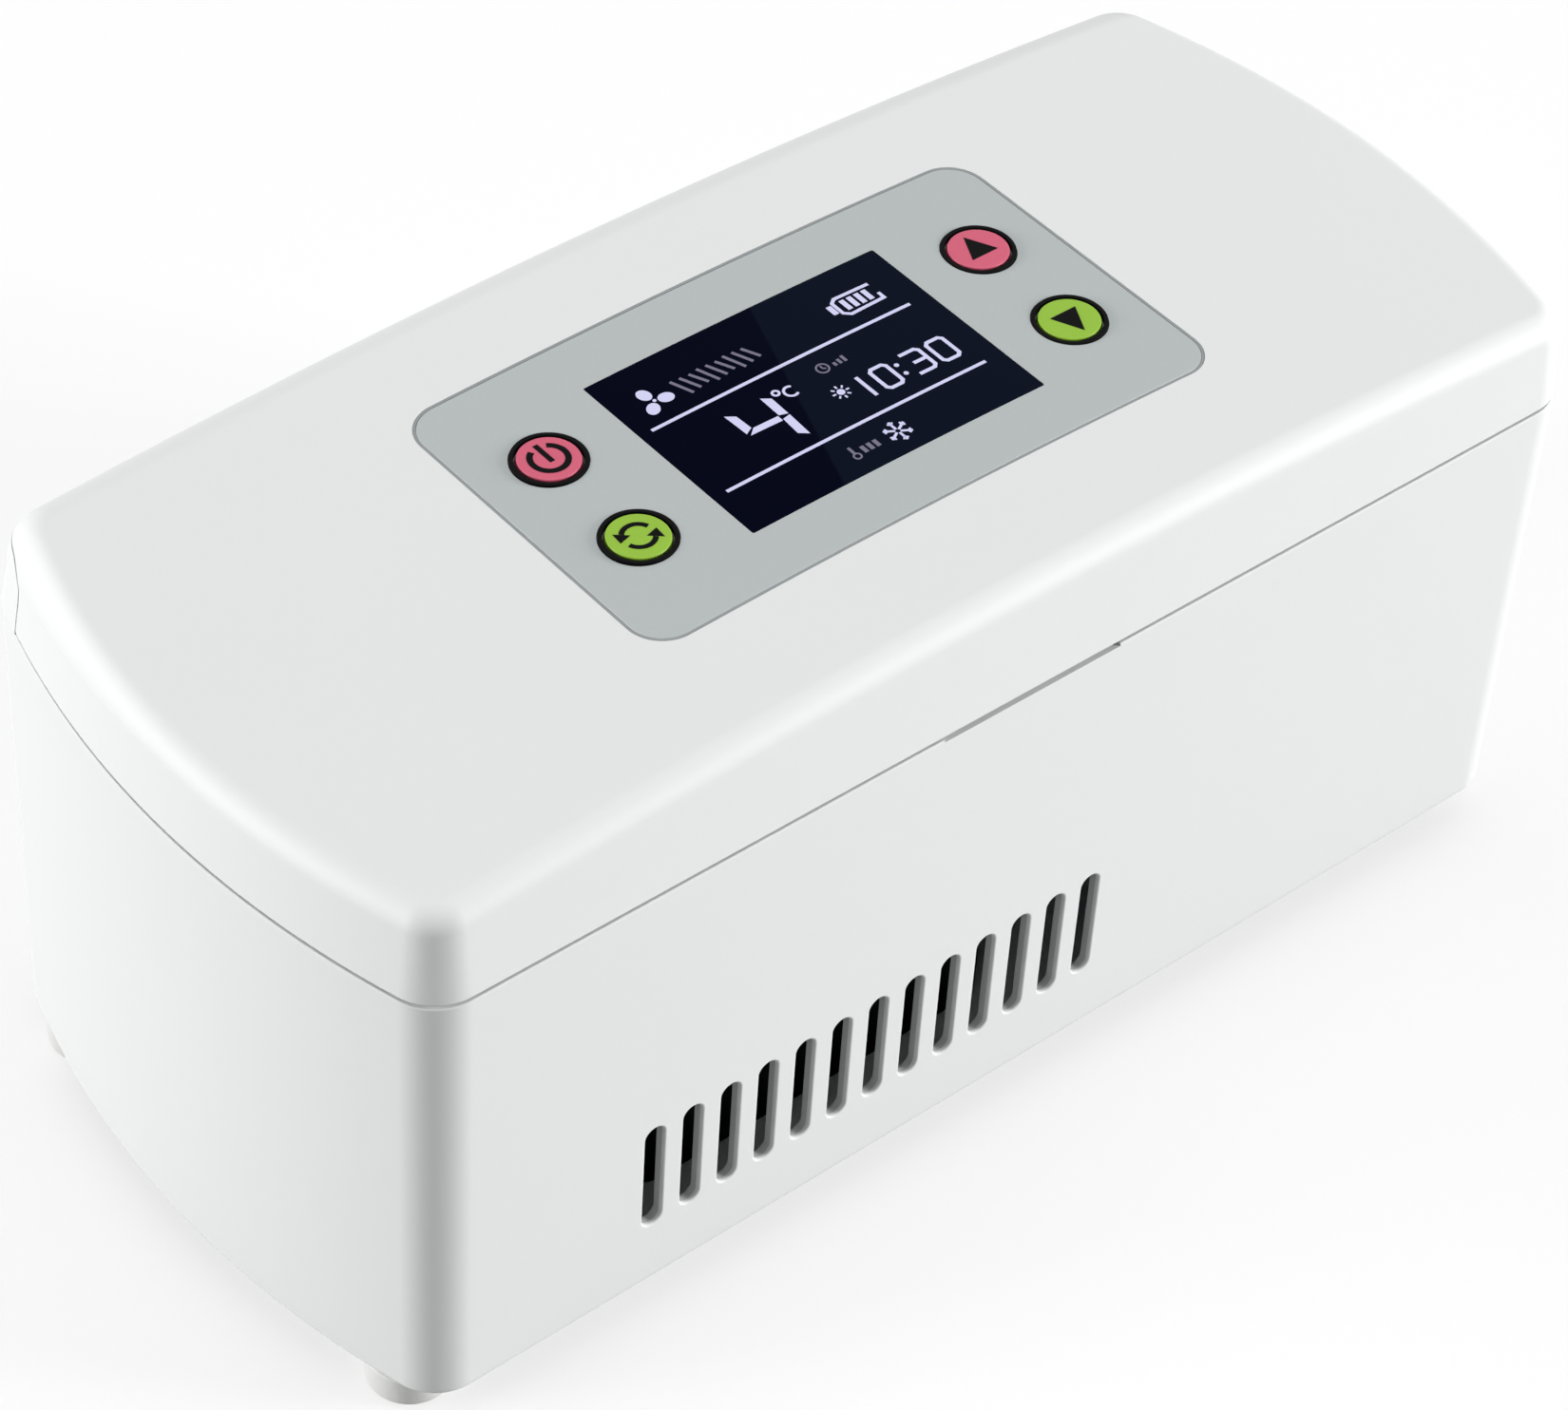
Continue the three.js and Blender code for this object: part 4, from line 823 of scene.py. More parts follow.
def slot_cutter(name, width, height, lip, face, depth, place):
    """A slot cutter that flares out to a rounded lip at a face. place puts (across, along, depth) in the
    frame, and depth runs from the face into the wall."""
    steps = [(lip, -depth)]
    for i in range(EDGE_STEPS + 1):
        angle = QUARTER_TURN * i / EDGE_STEPS
        steps.append((lip * (1 - math.sin(angle)), lip * (1 - math.cos(angle))))
    steps.append((0.0, depth))
    rings = [[place(u, v, face + w) for u, v in stadium(width, height, wider)] for wider, w in steps]
    return tube(name, rings)


def pin_bore(name):
    """Cutter for the bores of both hinge pins."""
    low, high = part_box("hinge_pin_left")
    radius = (high.z - low.z) / 2 + FIT
    half = (high.x - low.x) / 2 + SEAT
    bore = turn_to(rod(name, radius, -half, half, steps=24), "x", (0, HINGE.y, HINGE.z))
    return in_pair(bore, "hinge_pin")


def cut_rear(piece, rear, low, high):
    """Cuts off what lies behind a depth, between two heights."""
    return carve(piece, block("rear", (-2 * HALF_L, rear, low), (2 * HALF_L, 2 * HALF_D, high)))


def crown_tile(sizes, name, half_x, half_y, radius, top, bottom, bevel):
    """A tile round the panel's middle that follows the lid's arch between two depths under its surface."""
    section = [(0, crown_of(sizes, -bottom)), (0, crown_of(sizes, -top - bevel))]
    section.append((bevel, crown_of(sizes, -top)))
    return layered(name, partial(box_quarter, half_x, half_y, radius), section, (0, PANEL_Y))


def panel_tile(sizes, name, wider, top, bottom, bevel):
    """A tile of the control panel's outline, wider by some all round."""
    half_x = PANEL_HIGH.x + wider
    half_y = PANEL_HALF_Y + wider
    return crown_tile(sizes, name, half_x, half_y, sizes.panel_corner + wider, top, bottom, bevel)


def panel_hole(name, node, room, radius):
    """A cutter through the lid's top, wider than a node of the panel by the room round it."""
    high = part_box(node)[1]
    outline = box_at((0, PANEL_Y), high.x + room, high.y - PANEL_Y + room, radius)
    return prism(name, outline, "z", LID_RIM, LID_TOP + PAST)


def key_cutters(name, radius, bottom):
    """Four round cutters on the keys' axes."""
    low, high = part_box("up_button")
    cutter = rod(name, radius, bottom, LID_TOP + PAST, (0, PANEL_Y))
    return grow(cutter, corner_tree, Across=low.x + high.x, Deep=low.y + high.y - 2 * PANEL_Y)


def screw_posts(name, node, foot, top, radius):
    """Posts with a blind hole each at the places of four like screws."""
    end = foot + SCREW_DEPTH
    profile = [(SCREW_HOLE, foot), (radius, foot), (radius, top), (0, top)]
    profile += [(0, end), (SCREW_HOLE, end), (SCREW_HOLE, foot)]
    return at_corners(lathe(name, profile, steps=36), node)


def add_screws(context, name, node, body, head_down):
    """Pan-head screws with a cross recess at the places of four like nodes, their heads down or up."""
    low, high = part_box(node + "_rear_right")
    head_r = (high.x - low.x) / 2
    head_t = 1.5 * MM
    dome = 0.8 * MM
    shank_r = 1.4 * MM
    core_r = 0.8 * shank_r
    thread = 0.5 * MM
    whole = high.z - low.z
    profile = [(0, 0)] + arc((head_r - dome, dome), dome, -QUARTER_TURN, 0, EDGE_STEPS)
    profile += [(head_r, head_t), (shank_r, head_t)]
    height = head_t + thread
    while height < whole - 2 * thread:
        profile += [(shank_r, height), (core_r, height + thread / 2)]
        height += thread
    profile += [(core_r, whole - thread), (0, whole)]
    screws = lathe(name, profile, steps=32)
    arm = 0.62 * head_r
    bar = 0.35 * MM
    recess = 0.8 * MM
    for x, y in ((arm, bar), (bar, arm)):
        carve(screws, block("recess", (-x, -y, -recess), (x, y, recess)))
    if not head_down:
        screws.data.transform(Matrix.Rotation(math.pi, 4, "X"))
    shift(screws, (0, 0, low.z if head_down else high.z))
    at_corners(screws, node, Material=finish_of(context, "steel"))
    dress(context, screws, body, "steel", *four(node))


def edge_ring(sizes, shrink, angle):
    """A ring of the lid's top edge, whose rounding grows from the middle of each end towards the rear."""
    more = sizes.lid_rear - sizes.lid_edge
    inward = 1 - math.cos(angle)
    crown = crown_of(sizes, -shrink)
    points = []
    for x, y in loop_of(case_quarter(sizes, shrink + sizes.lid_lean + sizes.lid_edge * inward)):
        rearward = max(0, y / HALF_D)
        drop = (sizes.lid_edge + more * rearward) * (1 - math.sin(angle))
        points.append((x, y - more * inward * rearward, crown(x) - drop))
    return points


def lid_form(sizes, name, low_section, shrink=0.0):
    """The lid's outer form over pairs of an inset and a height: leaning sides and a rounded top edge."""
    rings = [ring(case_quarter(sizes, inset), height) for inset, height in low_section]
    steps = 2 * EDGE_STEPS
    rings += [edge_ring(sizes, shrink, QUARTER_TURN * i / steps) for i in range(steps + 1)]
    return loft(name, rings)


# Operators

class COOLING_CASE_OT_stage(bpy.types.Operator):
    """Pale floor, soft studio light and the camera at the viewing angle of the picture"""

    bl_idname = "cooling_case.stage"
    bl_label = "Stage"

    AZIMUTH = math.radians(-42.158)
    ELEVATION = math.radians(43.589)
    ROLL = math.radians(3.832)
    PLACE = (-0.31464, -0.34632, 0.48265)
    LENS = 111.64
    FILM_WIDTH = 36
    FLOOR_HALF = 4.0
    FLOOR_LIFT = 0.7
    ROOM_FILL = 0.12
    LOOK_AT = Vector((0, 0, 0.045))

    # Soft boxes: direction, distance and size in metres, and power in watts
    LAMPS = {
        "overhead_box": ((0.1, 0.15, 1), 1.6, (1.6, 1.2), 13.4),
        "left_box": ((-0.87, 0.445, 0.21), 3.0, (1.2, 1.2), 80),
        "front_right_box": ((0.70, -0.69, 0.21), 3.0, (0.9, 1.2), 97),
    }

    def camera(self, context):
        data = bpy.data.cameras.new("camera")
        data.lens = self.LENS
        data.sensor_width = self.FILM_WIDTH
        data.sensor_fit = "HORIZONTAL"
        camera = link("camera", data)
        turn = Matrix.Rotation(self.AZIMUTH, 4, "Z") @ Matrix.Rotation(QUARTER_TURN - self.ELEVATION, 4, "X")
        camera.matrix_world = Matrix.Translation(self.PLACE) @ turn @ Matrix.Rotation(self.ROLL, 4, "Z")
        context.scene.camera = camera

    def soft_box(self, name, direction, distance, size, power):
        data = bpy.data.lights.new(name, "AREA")
        data.shape = "RECTANGLE"
        data.size, data.size_y = size
        data.energy = power
        lamp = link(name, data)
        away = Vector(direction).normalized()
        lamp.location = self.LOOK_AT + away * distance
        lamp.rotation_euler = away.to_track_quat("Z", "Y").to_euler()

    def shown(self, tree):
        """1 for rays that show the background: the camera's, and those seen in gloss or through glass."""
        path = add_node(tree, "ShaderNodeLightPath")
        seen = path.outputs["Is Camera Ray"]
        for ray in ("Is Glossy Ray", "Is Transmission Ray"):
            both = {0: seen, 1: path.outputs[ray]}
            seen = add_node(tree, "ShaderNodeMath", both, operation="MAXIMUM").outputs[0]
        return seen

    def world(self, context):
        # An even white room: it fills at a low level and shows as white behind the case and in its gloss
        world = bpy.data.worlds.new("studio")
        world.use_nodes = True
        tree = world.node_tree
        fill = {"Value": self.shown(tree), "To Min": self.ROOM_FILL, "To Max": 1.0}
        level = add_node(tree, "ShaderNodeMapRange", fill)
        room = tree.nodes["Background"]
        room.inputs["Color"].default_value = (1, 1, 1, 1)
        tree.links.new(level.outputs[0], room.inputs["Strength"])
        context.scene.world = world

    def floor(self):
        # White paper sweep: matte, lifted to white for the camera, with the case's shadow left on it
        surface = {"Roughness": 0.9, "IOR": 1.45, "Emission_Color": (1, 1, 1, 1)}
        tree, shader, place = new_finish("white_paper", **surface)
        tint(tree, shader, soft_spots(tree, place, 0.3), linear("#909090"), 0.004)
        lift = {0: self.shown(tree), 1: self.FLOOR_LIFT}
        glow = add_node(tree, "ShaderNodeMath", lift, operation="MULTIPLY")
        tree.links.new(glow.outputs[0], shader.inputs["Emission Strength"])
        half = self.FLOOR_HALF
        mesh = bpy.data.meshes.new("floor")
        corners = [(-half, -half, 0), (half, -half, 0), (half, half, 0), (-half, half, 0)]
        mesh.from_pydata(corners, [], [(0, 1, 2, 3)])
        mesh.materials.append(bpy.data.materials["white_paper"])
        link("floor", mesh)

    def execute(self, context):
        context.scene.view_settings.view_transform = "Standard"
        self.camera(context)
        self.world(context)
        self.floor()
        for name, settings in self.LAMPS.items():
            self.soft_box(name, *settings)
        return {"FINISHED"}


class COOLING_CASE_OT_base(bpy.types.Operator):
    """Base housing with its hinge rib, vents, finger notch and inlet opening"""

    bl_idname = "cooling_case.base"
    bl_label = "Base housing"

    HAIR = 0.02 * MM
    RIB_ROOT = 8 * MM
    BOSS_R = 4.6 * MM
    BOSS_H = 18 * MM
    VENT_MARGIN = 2 * MM
    GRIP_X = -1.5 * MM
    INLET_CORNER = 1.2 * MM
    NOTCH_HALF = 8.3 * MM
    NOTCH_DEEP = 4.8 * MM

    def walls(self, sizes):
        rim = LID_RIM - sizes.seam
        low = BASE_LOW.z
        edge = sizes.base_edge
        section = fillet(0, low + edge, edge, up=False, back=True)
        section += fillet(0, rim - sizes.rim_edge, sizes.rim_edge)
        section += [(sizes.wall, rim), (sizes.wall, low)]
        return layered("base_housing", partial(case_quarter, sizes), section, closed=True)

    def rib(self, sizes):
        # Round-topped rib along the rear, trimmed to the lid's outer form a hair inside the walls
        root = LID_RIM - self.RIB_ROOT
        outline = [(RIB_FRONT, root), (HALF_D, root)]
        outline += arc((HINGE.y, HINGE.z), HINGE_R, 0, math.pi, steps=32)
        rib = prism("rib", outline, "x", -1.1 * HALF_L, 1.1 * HALF_L)
        low_section = [(self.HAIR, root - PAST), (self.HAIR, LID_RIM)]
        return carve(rib, lid_form(sizes, "form", low_section, self.HAIR), "INTERSECT")

    def bosses(self):
        # Screw bosses for the bottom cover, joined to the front and rear walls
        foot = top_of("bottom_cover") + SEAT
        return screw_posts("bosses", "cover_screw", foot, foot + self.BOSS_H, self.BOSS_R)

    def vent_middle(self, sizes):
        return middle_of("heat_sink").x, BASE_LOW.z + sizes.vent_low + sizes.vent_height / 2

    def vents(self, sizes):
        x, z = self.vent_middle(sizes)
        slot = slot_cutter(
            "vents", sizes.vent_width, sizes.vent_height, sizes.vent_lip, -HALF_D, 2 * sizes.wall,
            lambda u, v, w: (x + u, w, z + v),
        )
        return grow(slot, row_tree, Count=sizes.vent_count, Step=(sizes.vent_pitch, 0, 0))

    def pocket(self, sizes, front, back, name):
        """The field of the vents between two depths behind the front."""
        margin = self.VENT_MARGIN
        half_x = (sizes.vent_count - 1) * sizes.vent_pitch / 2 + sizes.vent_width + margin
        half_z = sizes.vent_height / 2 + margin
        outline = box_at(self.vent_middle(sizes), half_x, half_z, margin)
        return prism(name, outline, "y", front - HALF_D, back - HALF_D)

    def grille(self, sizes):
        # Grey plate in a pocket behind the vents, with the same slots. Its pale grey, darker than the
        # shell's white, is painted shade on the slots' inner walls
        front = sizes.vent_skin + self.HAIR
        plate = self.pocket(sizes, front, front + sizes.vent_insert, "vent_grille")
        return carve(plate, self.vents(sizes))

    def grip(self, sizes):
        half = sizes.grip_width / 2
        bottom = LID_RIM - sizes.seam - sizes.grip_height
        low = (self.GRIP_X - half, -HALF_D - sizes.wall, bottom)
        return block("grip", low, (self.GRIP_X + half, -HALF_D + sizes.grip_depth, LID_RIM))

    def inlet(self, sizes):
        low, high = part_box("dc_socket")
        middle = middle_of("dc_socket")
        half = (high.x - low.x) / 2 + FIT
        outline = box_at((middle.x, middle.z), half, half, self.INLET_CORNER)
        return prism("inlet", outline, "y", HALF_D - 2 * sizes.wall, HALF_D + sizes.wall)

    def notches(self, sizes):
        # Gaps in the rib where the lid's knuckles turn
        low = (-self.NOTCH_HALF, RIB_FRONT - sizes.wall, HINGE.z - self.NOTCH_DEEP)
        notch = block("notches", low, (self.NOTCH_HALF, HALF_D + sizes.wall, LID_TOP))
        return in_pair(notch, "hinge_pin")

    def execute(self, context):
        sizes = context.scene.case_sizes
        base = self.walls(sizes)
        carve(base, self.rib(sizes), "UNION")
        carve(base, self.bosses(), "UNION")
        carve(base, self.pocket(sizes, sizes.vent_skin, sizes.wall + SEAT, "pocket"))
        carve(base, self.vents(sizes))
        carve(base, self.grip(sizes))
        carve(base, self.inlet(sizes))
        carve(base, self.notches(sizes))
        carve(base, pin_bore("base_bores"))
        dress(context, base, "base", "white_abs", "base_shell")
        dress(context, self.grille(sizes), "base", "black_abs", finish="insert_abs")
        return {"FINISHED"}


class COOLING_CASE_OT_lid(bpy.types.Operator):
    """Lid housing with its arch, hinge knuckles and openings for the panel, display and keys"""

    bl_idname = "cooling_case.lid"
    bl_label = "Lid housing"

    SWEEP_GAP = 0.4 * MM
    KNUCKLE_R = 4.2 * MM
    KNUCKLE_HALF = 8 * MM
    NECK_HALF = 2.5 * MM
    POST_R = 3.4 * MM
    ROOM_BEVEL = 0.1 * MM
    DISPLAY_CORNER = 0.6 * MM

    def outside(self, sizes):
        edge = sizes.rim_edge
        return lid_form(sizes, "lid_housing", fillet(0, LID_RIM + edge, edge, up=False, back=True))

    def hollow(self, sizes):
        wall = sizes.lid_wall
        top = sizes.lid_top
        leant = wall + sizes.lid_lean
        section = [
            (wall, LID_RIM - PAST),
            (wall, top_of("lid_liner") + SEAT),
            (leant, crown_of(sizes, -top - sizes.lid_edge)),
            (leant + sizes.lid_edge / 2, crown_of(sizes, -top)),
        ]
        room = layered("hollow", partial(case_quarter, sizes), section)
        return cut_rear(room, RIB_FRONT - self.SWEEP_GAP - wall, LID_RIM - 2 * PAST, LID_TOP + PAST)

    def rib_room(self):
        sweep = HINGE_R + self.SWEEP_GAP
        low = LID_RIM - PAST
        back = 2 * HALF_D
        outline = [(HINGE.y - sweep, low), (back, low), (back, HINGE.z + sweep)]
        outline += arc((HINGE.y, HINGE.z), sweep, QUARTER_TURN, math.pi, steps=24)
        return prism("rib_room", outline, "x", -2 * HALF_L, 2 * HALF_L)

    def knuckles(self):
        neck = self.NECK_HALF
        top = HINGE.z + HINGE_R + 2 * self.SWEEP_GAP
        turn = math.asin(neck / self.KNUCKLE_R)
        outline = [(HINGE.y + neck, top), (HINGE.y - neck, top)]
        outline += arc(
            (HINGE.y, HINGE.z), self.KNUCKLE_R, QUARTER_TURN + turn, 5 * QUARTER_TURN - turn, steps=40,
        )
        return in_pair(prism("knuckles", outline, "x", -self.KNUCKLE_HALF, self.KNUCKLE_HALF), "hinge_pin")

    def posts(self, sizes):
        # Screw posts that carry the lining
        screw = middle_of("lid_screw_rear_right")
        top = crown_of(sizes, -sizes.lid_top / 2)(screw.x)
        return screw_posts("posts", "lid_screw", top_of("lid_liner") + SEAT, top, self.POST_R)

    def execute(self, context):
        sizes = context.scene.case_sizes
        lid = self.outside(sizes)
        carve(lid, self.hollow(sizes))
        carve(lid, self.rib_room())
        carve(lid, self.posts(sizes), "UNION")
        carve(lid, self.knuckles(), "UNION")
        depth = sizes.panel_thick + SEAT
        carve(lid, panel_tile(sizes, "panel_room", FIT, -PAST, depth, self.ROOM_BEVEL))
        carve(lid, panel_hole("display_room", "lcd_module", FIT, self.DISPLAY_CORNER))
        carve(lid, key_cutters("key_holes", sizes.key_radius + FIT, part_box("up_button")[0].z))
        carve(lid, pin_bore("lid_bores"))
        dress(context, lid, "lid", "white_abs", "lid_shell")
        return {"FINISHED"}


class COOLING_CASE_OT_panel(bpy.types.Operator):
    """Grey control panel film, the bead round it, and the display's dark window in it"""

    bl_idname = "cooling_case.panel"
    bl_label = "Control panel"

    SNUG = 0.04 * MM
    FILM_BEVEL = 0.08 * MM
    LENS_CORNER = 0.3 * MM
    LENS_THICK = 0.9 * MM
    LENS_BEVEL = 0.05 * MM

    def film(self, sizes):
        trim = sizes.panel_seal - FIT
        film = panel_tile(sizes, "control_panel", -trim, 0, sizes.panel_thick, self.FILM_BEVEL)
        carve(film, panel_hole("opening", "lcd_window", self.SNUG, self.LENS_CORNER))
        radius = sizes.key_radius + FIT + sizes.ring_width + SEAT
        return carve(film, key_cutters("ring_holes", radius, LID_RIM))

    def lens(self, sizes):
        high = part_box("lcd_window")[1]
        depths = (0, self.LENS_THICK, self.LENS_BEVEL)
        return crown_tile(sizes, "display_window", high.x, high.y - PANEL_Y, self.LENS_CORNER, *depths)

    def seal(self, sizes):
        # Thin grey bead in the groove round the film, a little below its surface, with the gasket's silicone
        # finish. Its grey is painted shade that darkens the whole groove round the film
        outer = self.SNUG - FIT
        inner = sizes.panel_seal - FIT - self.SNUG
        low = crown_of(sizes, -sizes.panel_thick)
        high = crown_of(sizes, -self.SNUG)
        section = [(outer, low), (outer, high), (inner, high), (inner, low)]
        outline = partial(box_quarter, PANEL_HIGH.x, PANEL_HALF_Y, sizes.panel_corner)
        return layered("panel_seal", outline, section, (0, PANEL_Y), closed=True)

    def execute(self, context):
        sizes = context.scene.case_sizes
        dress(context, self.film(sizes), "lid", "panel_film", "panel_overlay")
        dress(context, self.lens(sizes), "lid", "display_lens", "lcd_window")
        dress(context, self.seal(sizes), "lid", "seal_silicone")
        return {"FINISHED"}


# Flat marks of the display and the keys, drawn in plan in millimetres

def fine(points, closed, step):
    """A path with points no further apart than a step."""
    ends = points + points[:1] if closed else points
    path = []
    for (ax, ay), (bx, by) in zip(ends, ends[1:]):
        count = max(1, math.ceil(math.hypot(bx - ax, by - ay) / step))
        path += [(ax + (bx - ax) * i / count, ay + (by - ay) * i / count) for i in range(count)]
    return path if closed else path + points[-1:]


def ribbon(points, width, closed):
    """Pairs of points on the two edges of a stroke, mitred where it bends."""
    pairs = []
    last = len(points) - 1
    for i, (x, y) in enumerate(points):
        ways = []
        if i or closed:
            before = points[i - 1]
            ways.append(Vector((x - before[0], y - before[1])).normalized())
        if i < last or closed:
            after = points[(i + 1) % len(points)]
            ways.append(Vector((after[0] - x, after[1] - y)).normalized())
        way = sum(ways, Vector((0, 0))).normalized()
        side = Vector((-way.y, way.x))
        reach = width / 2 / max(0.5, abs(ways[0].dot(way)))
        pairs.append(((x + side.x * reach, y + side.y * reach), (x - side.x * reach, y - side.y * reach)))
    return pairs


def bar_at(x, low, width, high):
    """Corners of an upright bar."""
    return [(x, low), (x + width, low), (x + width, high), (x, high)]


class Marks:
    """Strokes and filled patches that become one flat, closed mesh on a surface."""

    def __init__(self):
        self.points = []
        self.faces = []

    def stroke(self, points, width, closed=False, step=2.0):
        pairs = ribbon(fine(points, closed, step), width, closed)
        start = len(self.points)
        for left, right in pairs:
            self.points += [(*left, 0), (*right, 0), (*right, 1), (*left, 1)]
        count = len(pairs)
        for i in range(count if closed else count - 1):
            a = start + 4 * i
            b = start + 4 * ((i + 1) % count)
            for k in range(4):
                n = (k + 1) % 4
                self.faces.append((a + k, a + n, b + n, b + k))
        if not closed:
            for end in (start, start + 4 * (count - 1)):
                self.faces.append(tuple(range(end, end + 4)))

    def patch(self, outline):
        start = len(self.points)
        count = len(outline)
        self.points += [(x, y, level) for level in (0, 1) for x, y in outline]
        for i in range(count):
            j = (i + 1) % count
            self.faces.append((start + i, start + j, start + count + j, start + count + i))
        for end in (start, start + count):
            self.faces.append(tuple(range(end, end + count)))

    def dot(self, centre, radius, stretch=1.0, angle=0.0, steps=24):
        turn = Matrix.Rotation(angle, 2)
        circle = arc((0, 0), radius, 0, 2 * math.pi, steps)[:-1]
        outline = [turn @ Vector((x * stretch, y)) for x, y in circle]
        self.patch([(centre[0] + p.x, centre[1] + p.y) for p in outline])

    def circle(self, centre, radius, width, start=0.0, stop=2 * math.pi, steps=40):
        whole = stop - start >= 2 * math.pi - 1e-6
        points = arc(centre, radius, start, stop, steps)
        self.stroke(points[:-1] if whole else points, width, closed=whole)

    def piece(self, name, centre, surface, sunk, proud):
        """The marks round a centre in the frame, from just under a surface to just above it."""
        points = []
        for x, y, level in self.points:
            px = centre[0] + x * MM
            py = centre[1] + y * MM
            points.append((px, py, surface(px) + (proud if level else -sunk)))
        return new_piece(name, points, self.faces)


def figure(marks, value, left, low, width, height, line):
    """A plain figure drawn in one stroke with cut corners: 0, 1 or 3."""
    cut = 0.45
    right = left + width
    top = low + height
    side = [(right - cut, low), (right, low + cut), (right, top - cut), (right - cut, top)]
    if value == 0:
        back = [(left + cut, top), (left, top - cut), (left, low + cut), (left + cut, low)]
        marks.stroke(side + back, line, closed=True)
    elif value == 1:
        marks.stroke([(right, low), (right, top)], line)
    elif value == 3:
        marks.stroke([(left, low), *side, (left, top)], line)
        middle = low + height / 2
        marks.stroke([(left + width / 4, middle), (right - line / 2, middle)], line)
    else:
        raise ValueError(f"no figure for {value}")


class COOLING_CASE_OT_display(bpy.types.Operator):
    """Marks on the display: plain figures, lines and small signs"""

    bl_idname = "cooling_case.display"
    bl_label = "Display marks"

    LINE = 0.5
    FAN = (-17.9, 9.1)
    FLAKE = (2.7, -13.4)
    SUN = (1.8, -3.5)
    CLOCK = (2.9, 1.4)
    SUNK = 0.05 * MM
    PROUD = 0.03 * MM
    FAINT_PROUD = 0.02 * MM

    def lines(self, marks):
        marks.stroke([(-21.7, 4.85), (20.3, 4.85)], self.LINE)
        marks.stroke([(-21.4, -9.5), (20.6, -9.5)], self.LINE)

    def fan(self, marks):
        for i in range(3):
            angle = math.radians(107 + 120 * i)
            centre = (self.FAN[0] + 1.6 * math.cos(angle), self.FAN[1] + 1.6 * math.sin(angle))
            marks.dot(centre, 0.9, 1.25, angle)
        marks.dot(self.FAN, 0.26)

    def battery(self, marks):
        outline = [(18.5, 9.0), (18.5, 7.8), (12.9, 7.6), (12.1, 8.3), (12.1, 10.6), (12.9, 11.2)]
        marks.stroke(outline + [(18.5, 11.1)], self.LINE)
        marks.patch(bar_at(10.9, 8.6, 0.8, 10.4))
        for i in range(4):
            marks.patch(bar_at(13.1 + 1.2 * i, 8.4, 0.75, 10.5))

    def temperature(self, marks):
        marks.patch([(-12.95, 1.5), (-12.75, -2.75), (-11.55, -2.15), (-11.7, 0.6)])
        marks.patch([(-12.5, -3.25), (-7.5, -3.4), (-7.5, -2.4), (-11.35, -2.3)])
        marks.patch([(-7.3, -2.35), (-6.1, -2.75), (-6.0, 0.65), (-7.2, 1.5)])
        marks.patch([(-7.3, -3.2), (-7.55, -6.35), (-6.35, -7.3), (-6.1, -3.0)])
        marks.circle((-4.95, 1.15), 0.46, 0.34, steps=20)
        marks.circle((-3.15, 0.35), 0.92, 0.36, math.radians(50), math.radians(310), steps=20)

    def clock(self, marks):
        low = -6.6
        high = 4.2
        for value, left, width in ((1, 2.3, 2.8), (0, 7.1, 2.6), (3, 12.2, 2.9), (0, 16.4, 2.7)):
            figure(marks, value, left, low, width, high, 0.54)
        for share in (0.27, 0.72):
            marks.dot((10.85, low + share * high), 0.34)

    def sun(self, marks):
        marks.dot(self.SUN, 0.55)
        for i in range(8):
            angle = math.radians(45 * i)
            way = (math.cos(angle), math.sin(angle))
            ends = [(self.SUN[0] + r * way[0], self.SUN[1] + r * way[1]) for r in (0.8, 1.3)]
            marks.stroke(ends, 0.26)

    def snowflake(self, marks):
        middle = Vector(self.FLAKE)
        for i in range(6):
            angle = math.radians(30 + 60 * i)
            way = Vector((math.cos(angle), math.sin(angle)))
            marks.stroke([tuple(middle + way * 0.35), tuple(middle + way * 1.9)], 0.36)
            fork = middle + way * 1.3
            for side in (-1, 1):
                barb = fork + Matrix.Rotation(side * math.radians(48), 2) @ way * 0.55
                marks.stroke([tuple(fork), tuple(barb)], 0.26)

    def faint(self, marks):
        # Slanted strokes of moving air beside the fan, and a clock and a thermometer with a short scale each
        for i in range(9):
            x = -14.2 + 1.4 * i
            marks.stroke([(x, 10.7 - 0.12 * (i % 3)), (x + 1.2, 7.4 + 0.25 * (i % 3))], 0.46)
        x, y = self.CLOCK
        marks.circle(self.CLOCK, 0.85, 0.26, steps=24)
        marks.stroke([(x, y + 0.6), (x, y), (x + 0.4, y - 0.25)], 0.24)
        marks.circle((-4.4, -14.1), 0.5, 0.26, steps=20)
        marks.stroke([(-4.4, -13.55), (-4.4, -12.2)], 0.42)
        for i in range(3):
            marks.patch(bar_at(4.5 + 0.8 * i, 0.8, 0.45, 1.5 + 0.25 * i))
            marks.patch(bar_at(-3.2 + 1.0 * i, -14.2, 0.6, -12.9))

    def execute(self, context):
        surface = crown_of(context.scene.case_sizes)
        bright = (self.lines, self.fan, self.battery, self.temperature, self.clock, self.sun, self.snowflake)
        layers = (
            ("display_marks", bright, self.PROUD, "display_mark"),
            ("display_faint_marks", (self.faint,), self.FAINT_PROUD, "display_dim"),
        )
        for name, signs, proud, finish in layers:
            marks = Marks()
            for draw in signs:
                draw(marks)
            piece = marks.piece(name, (0, 0), surface, self.SUNK, proud)
            dress(context, piece, "lid", "display_lens", finish=finish)
        return {"FINISHED"}


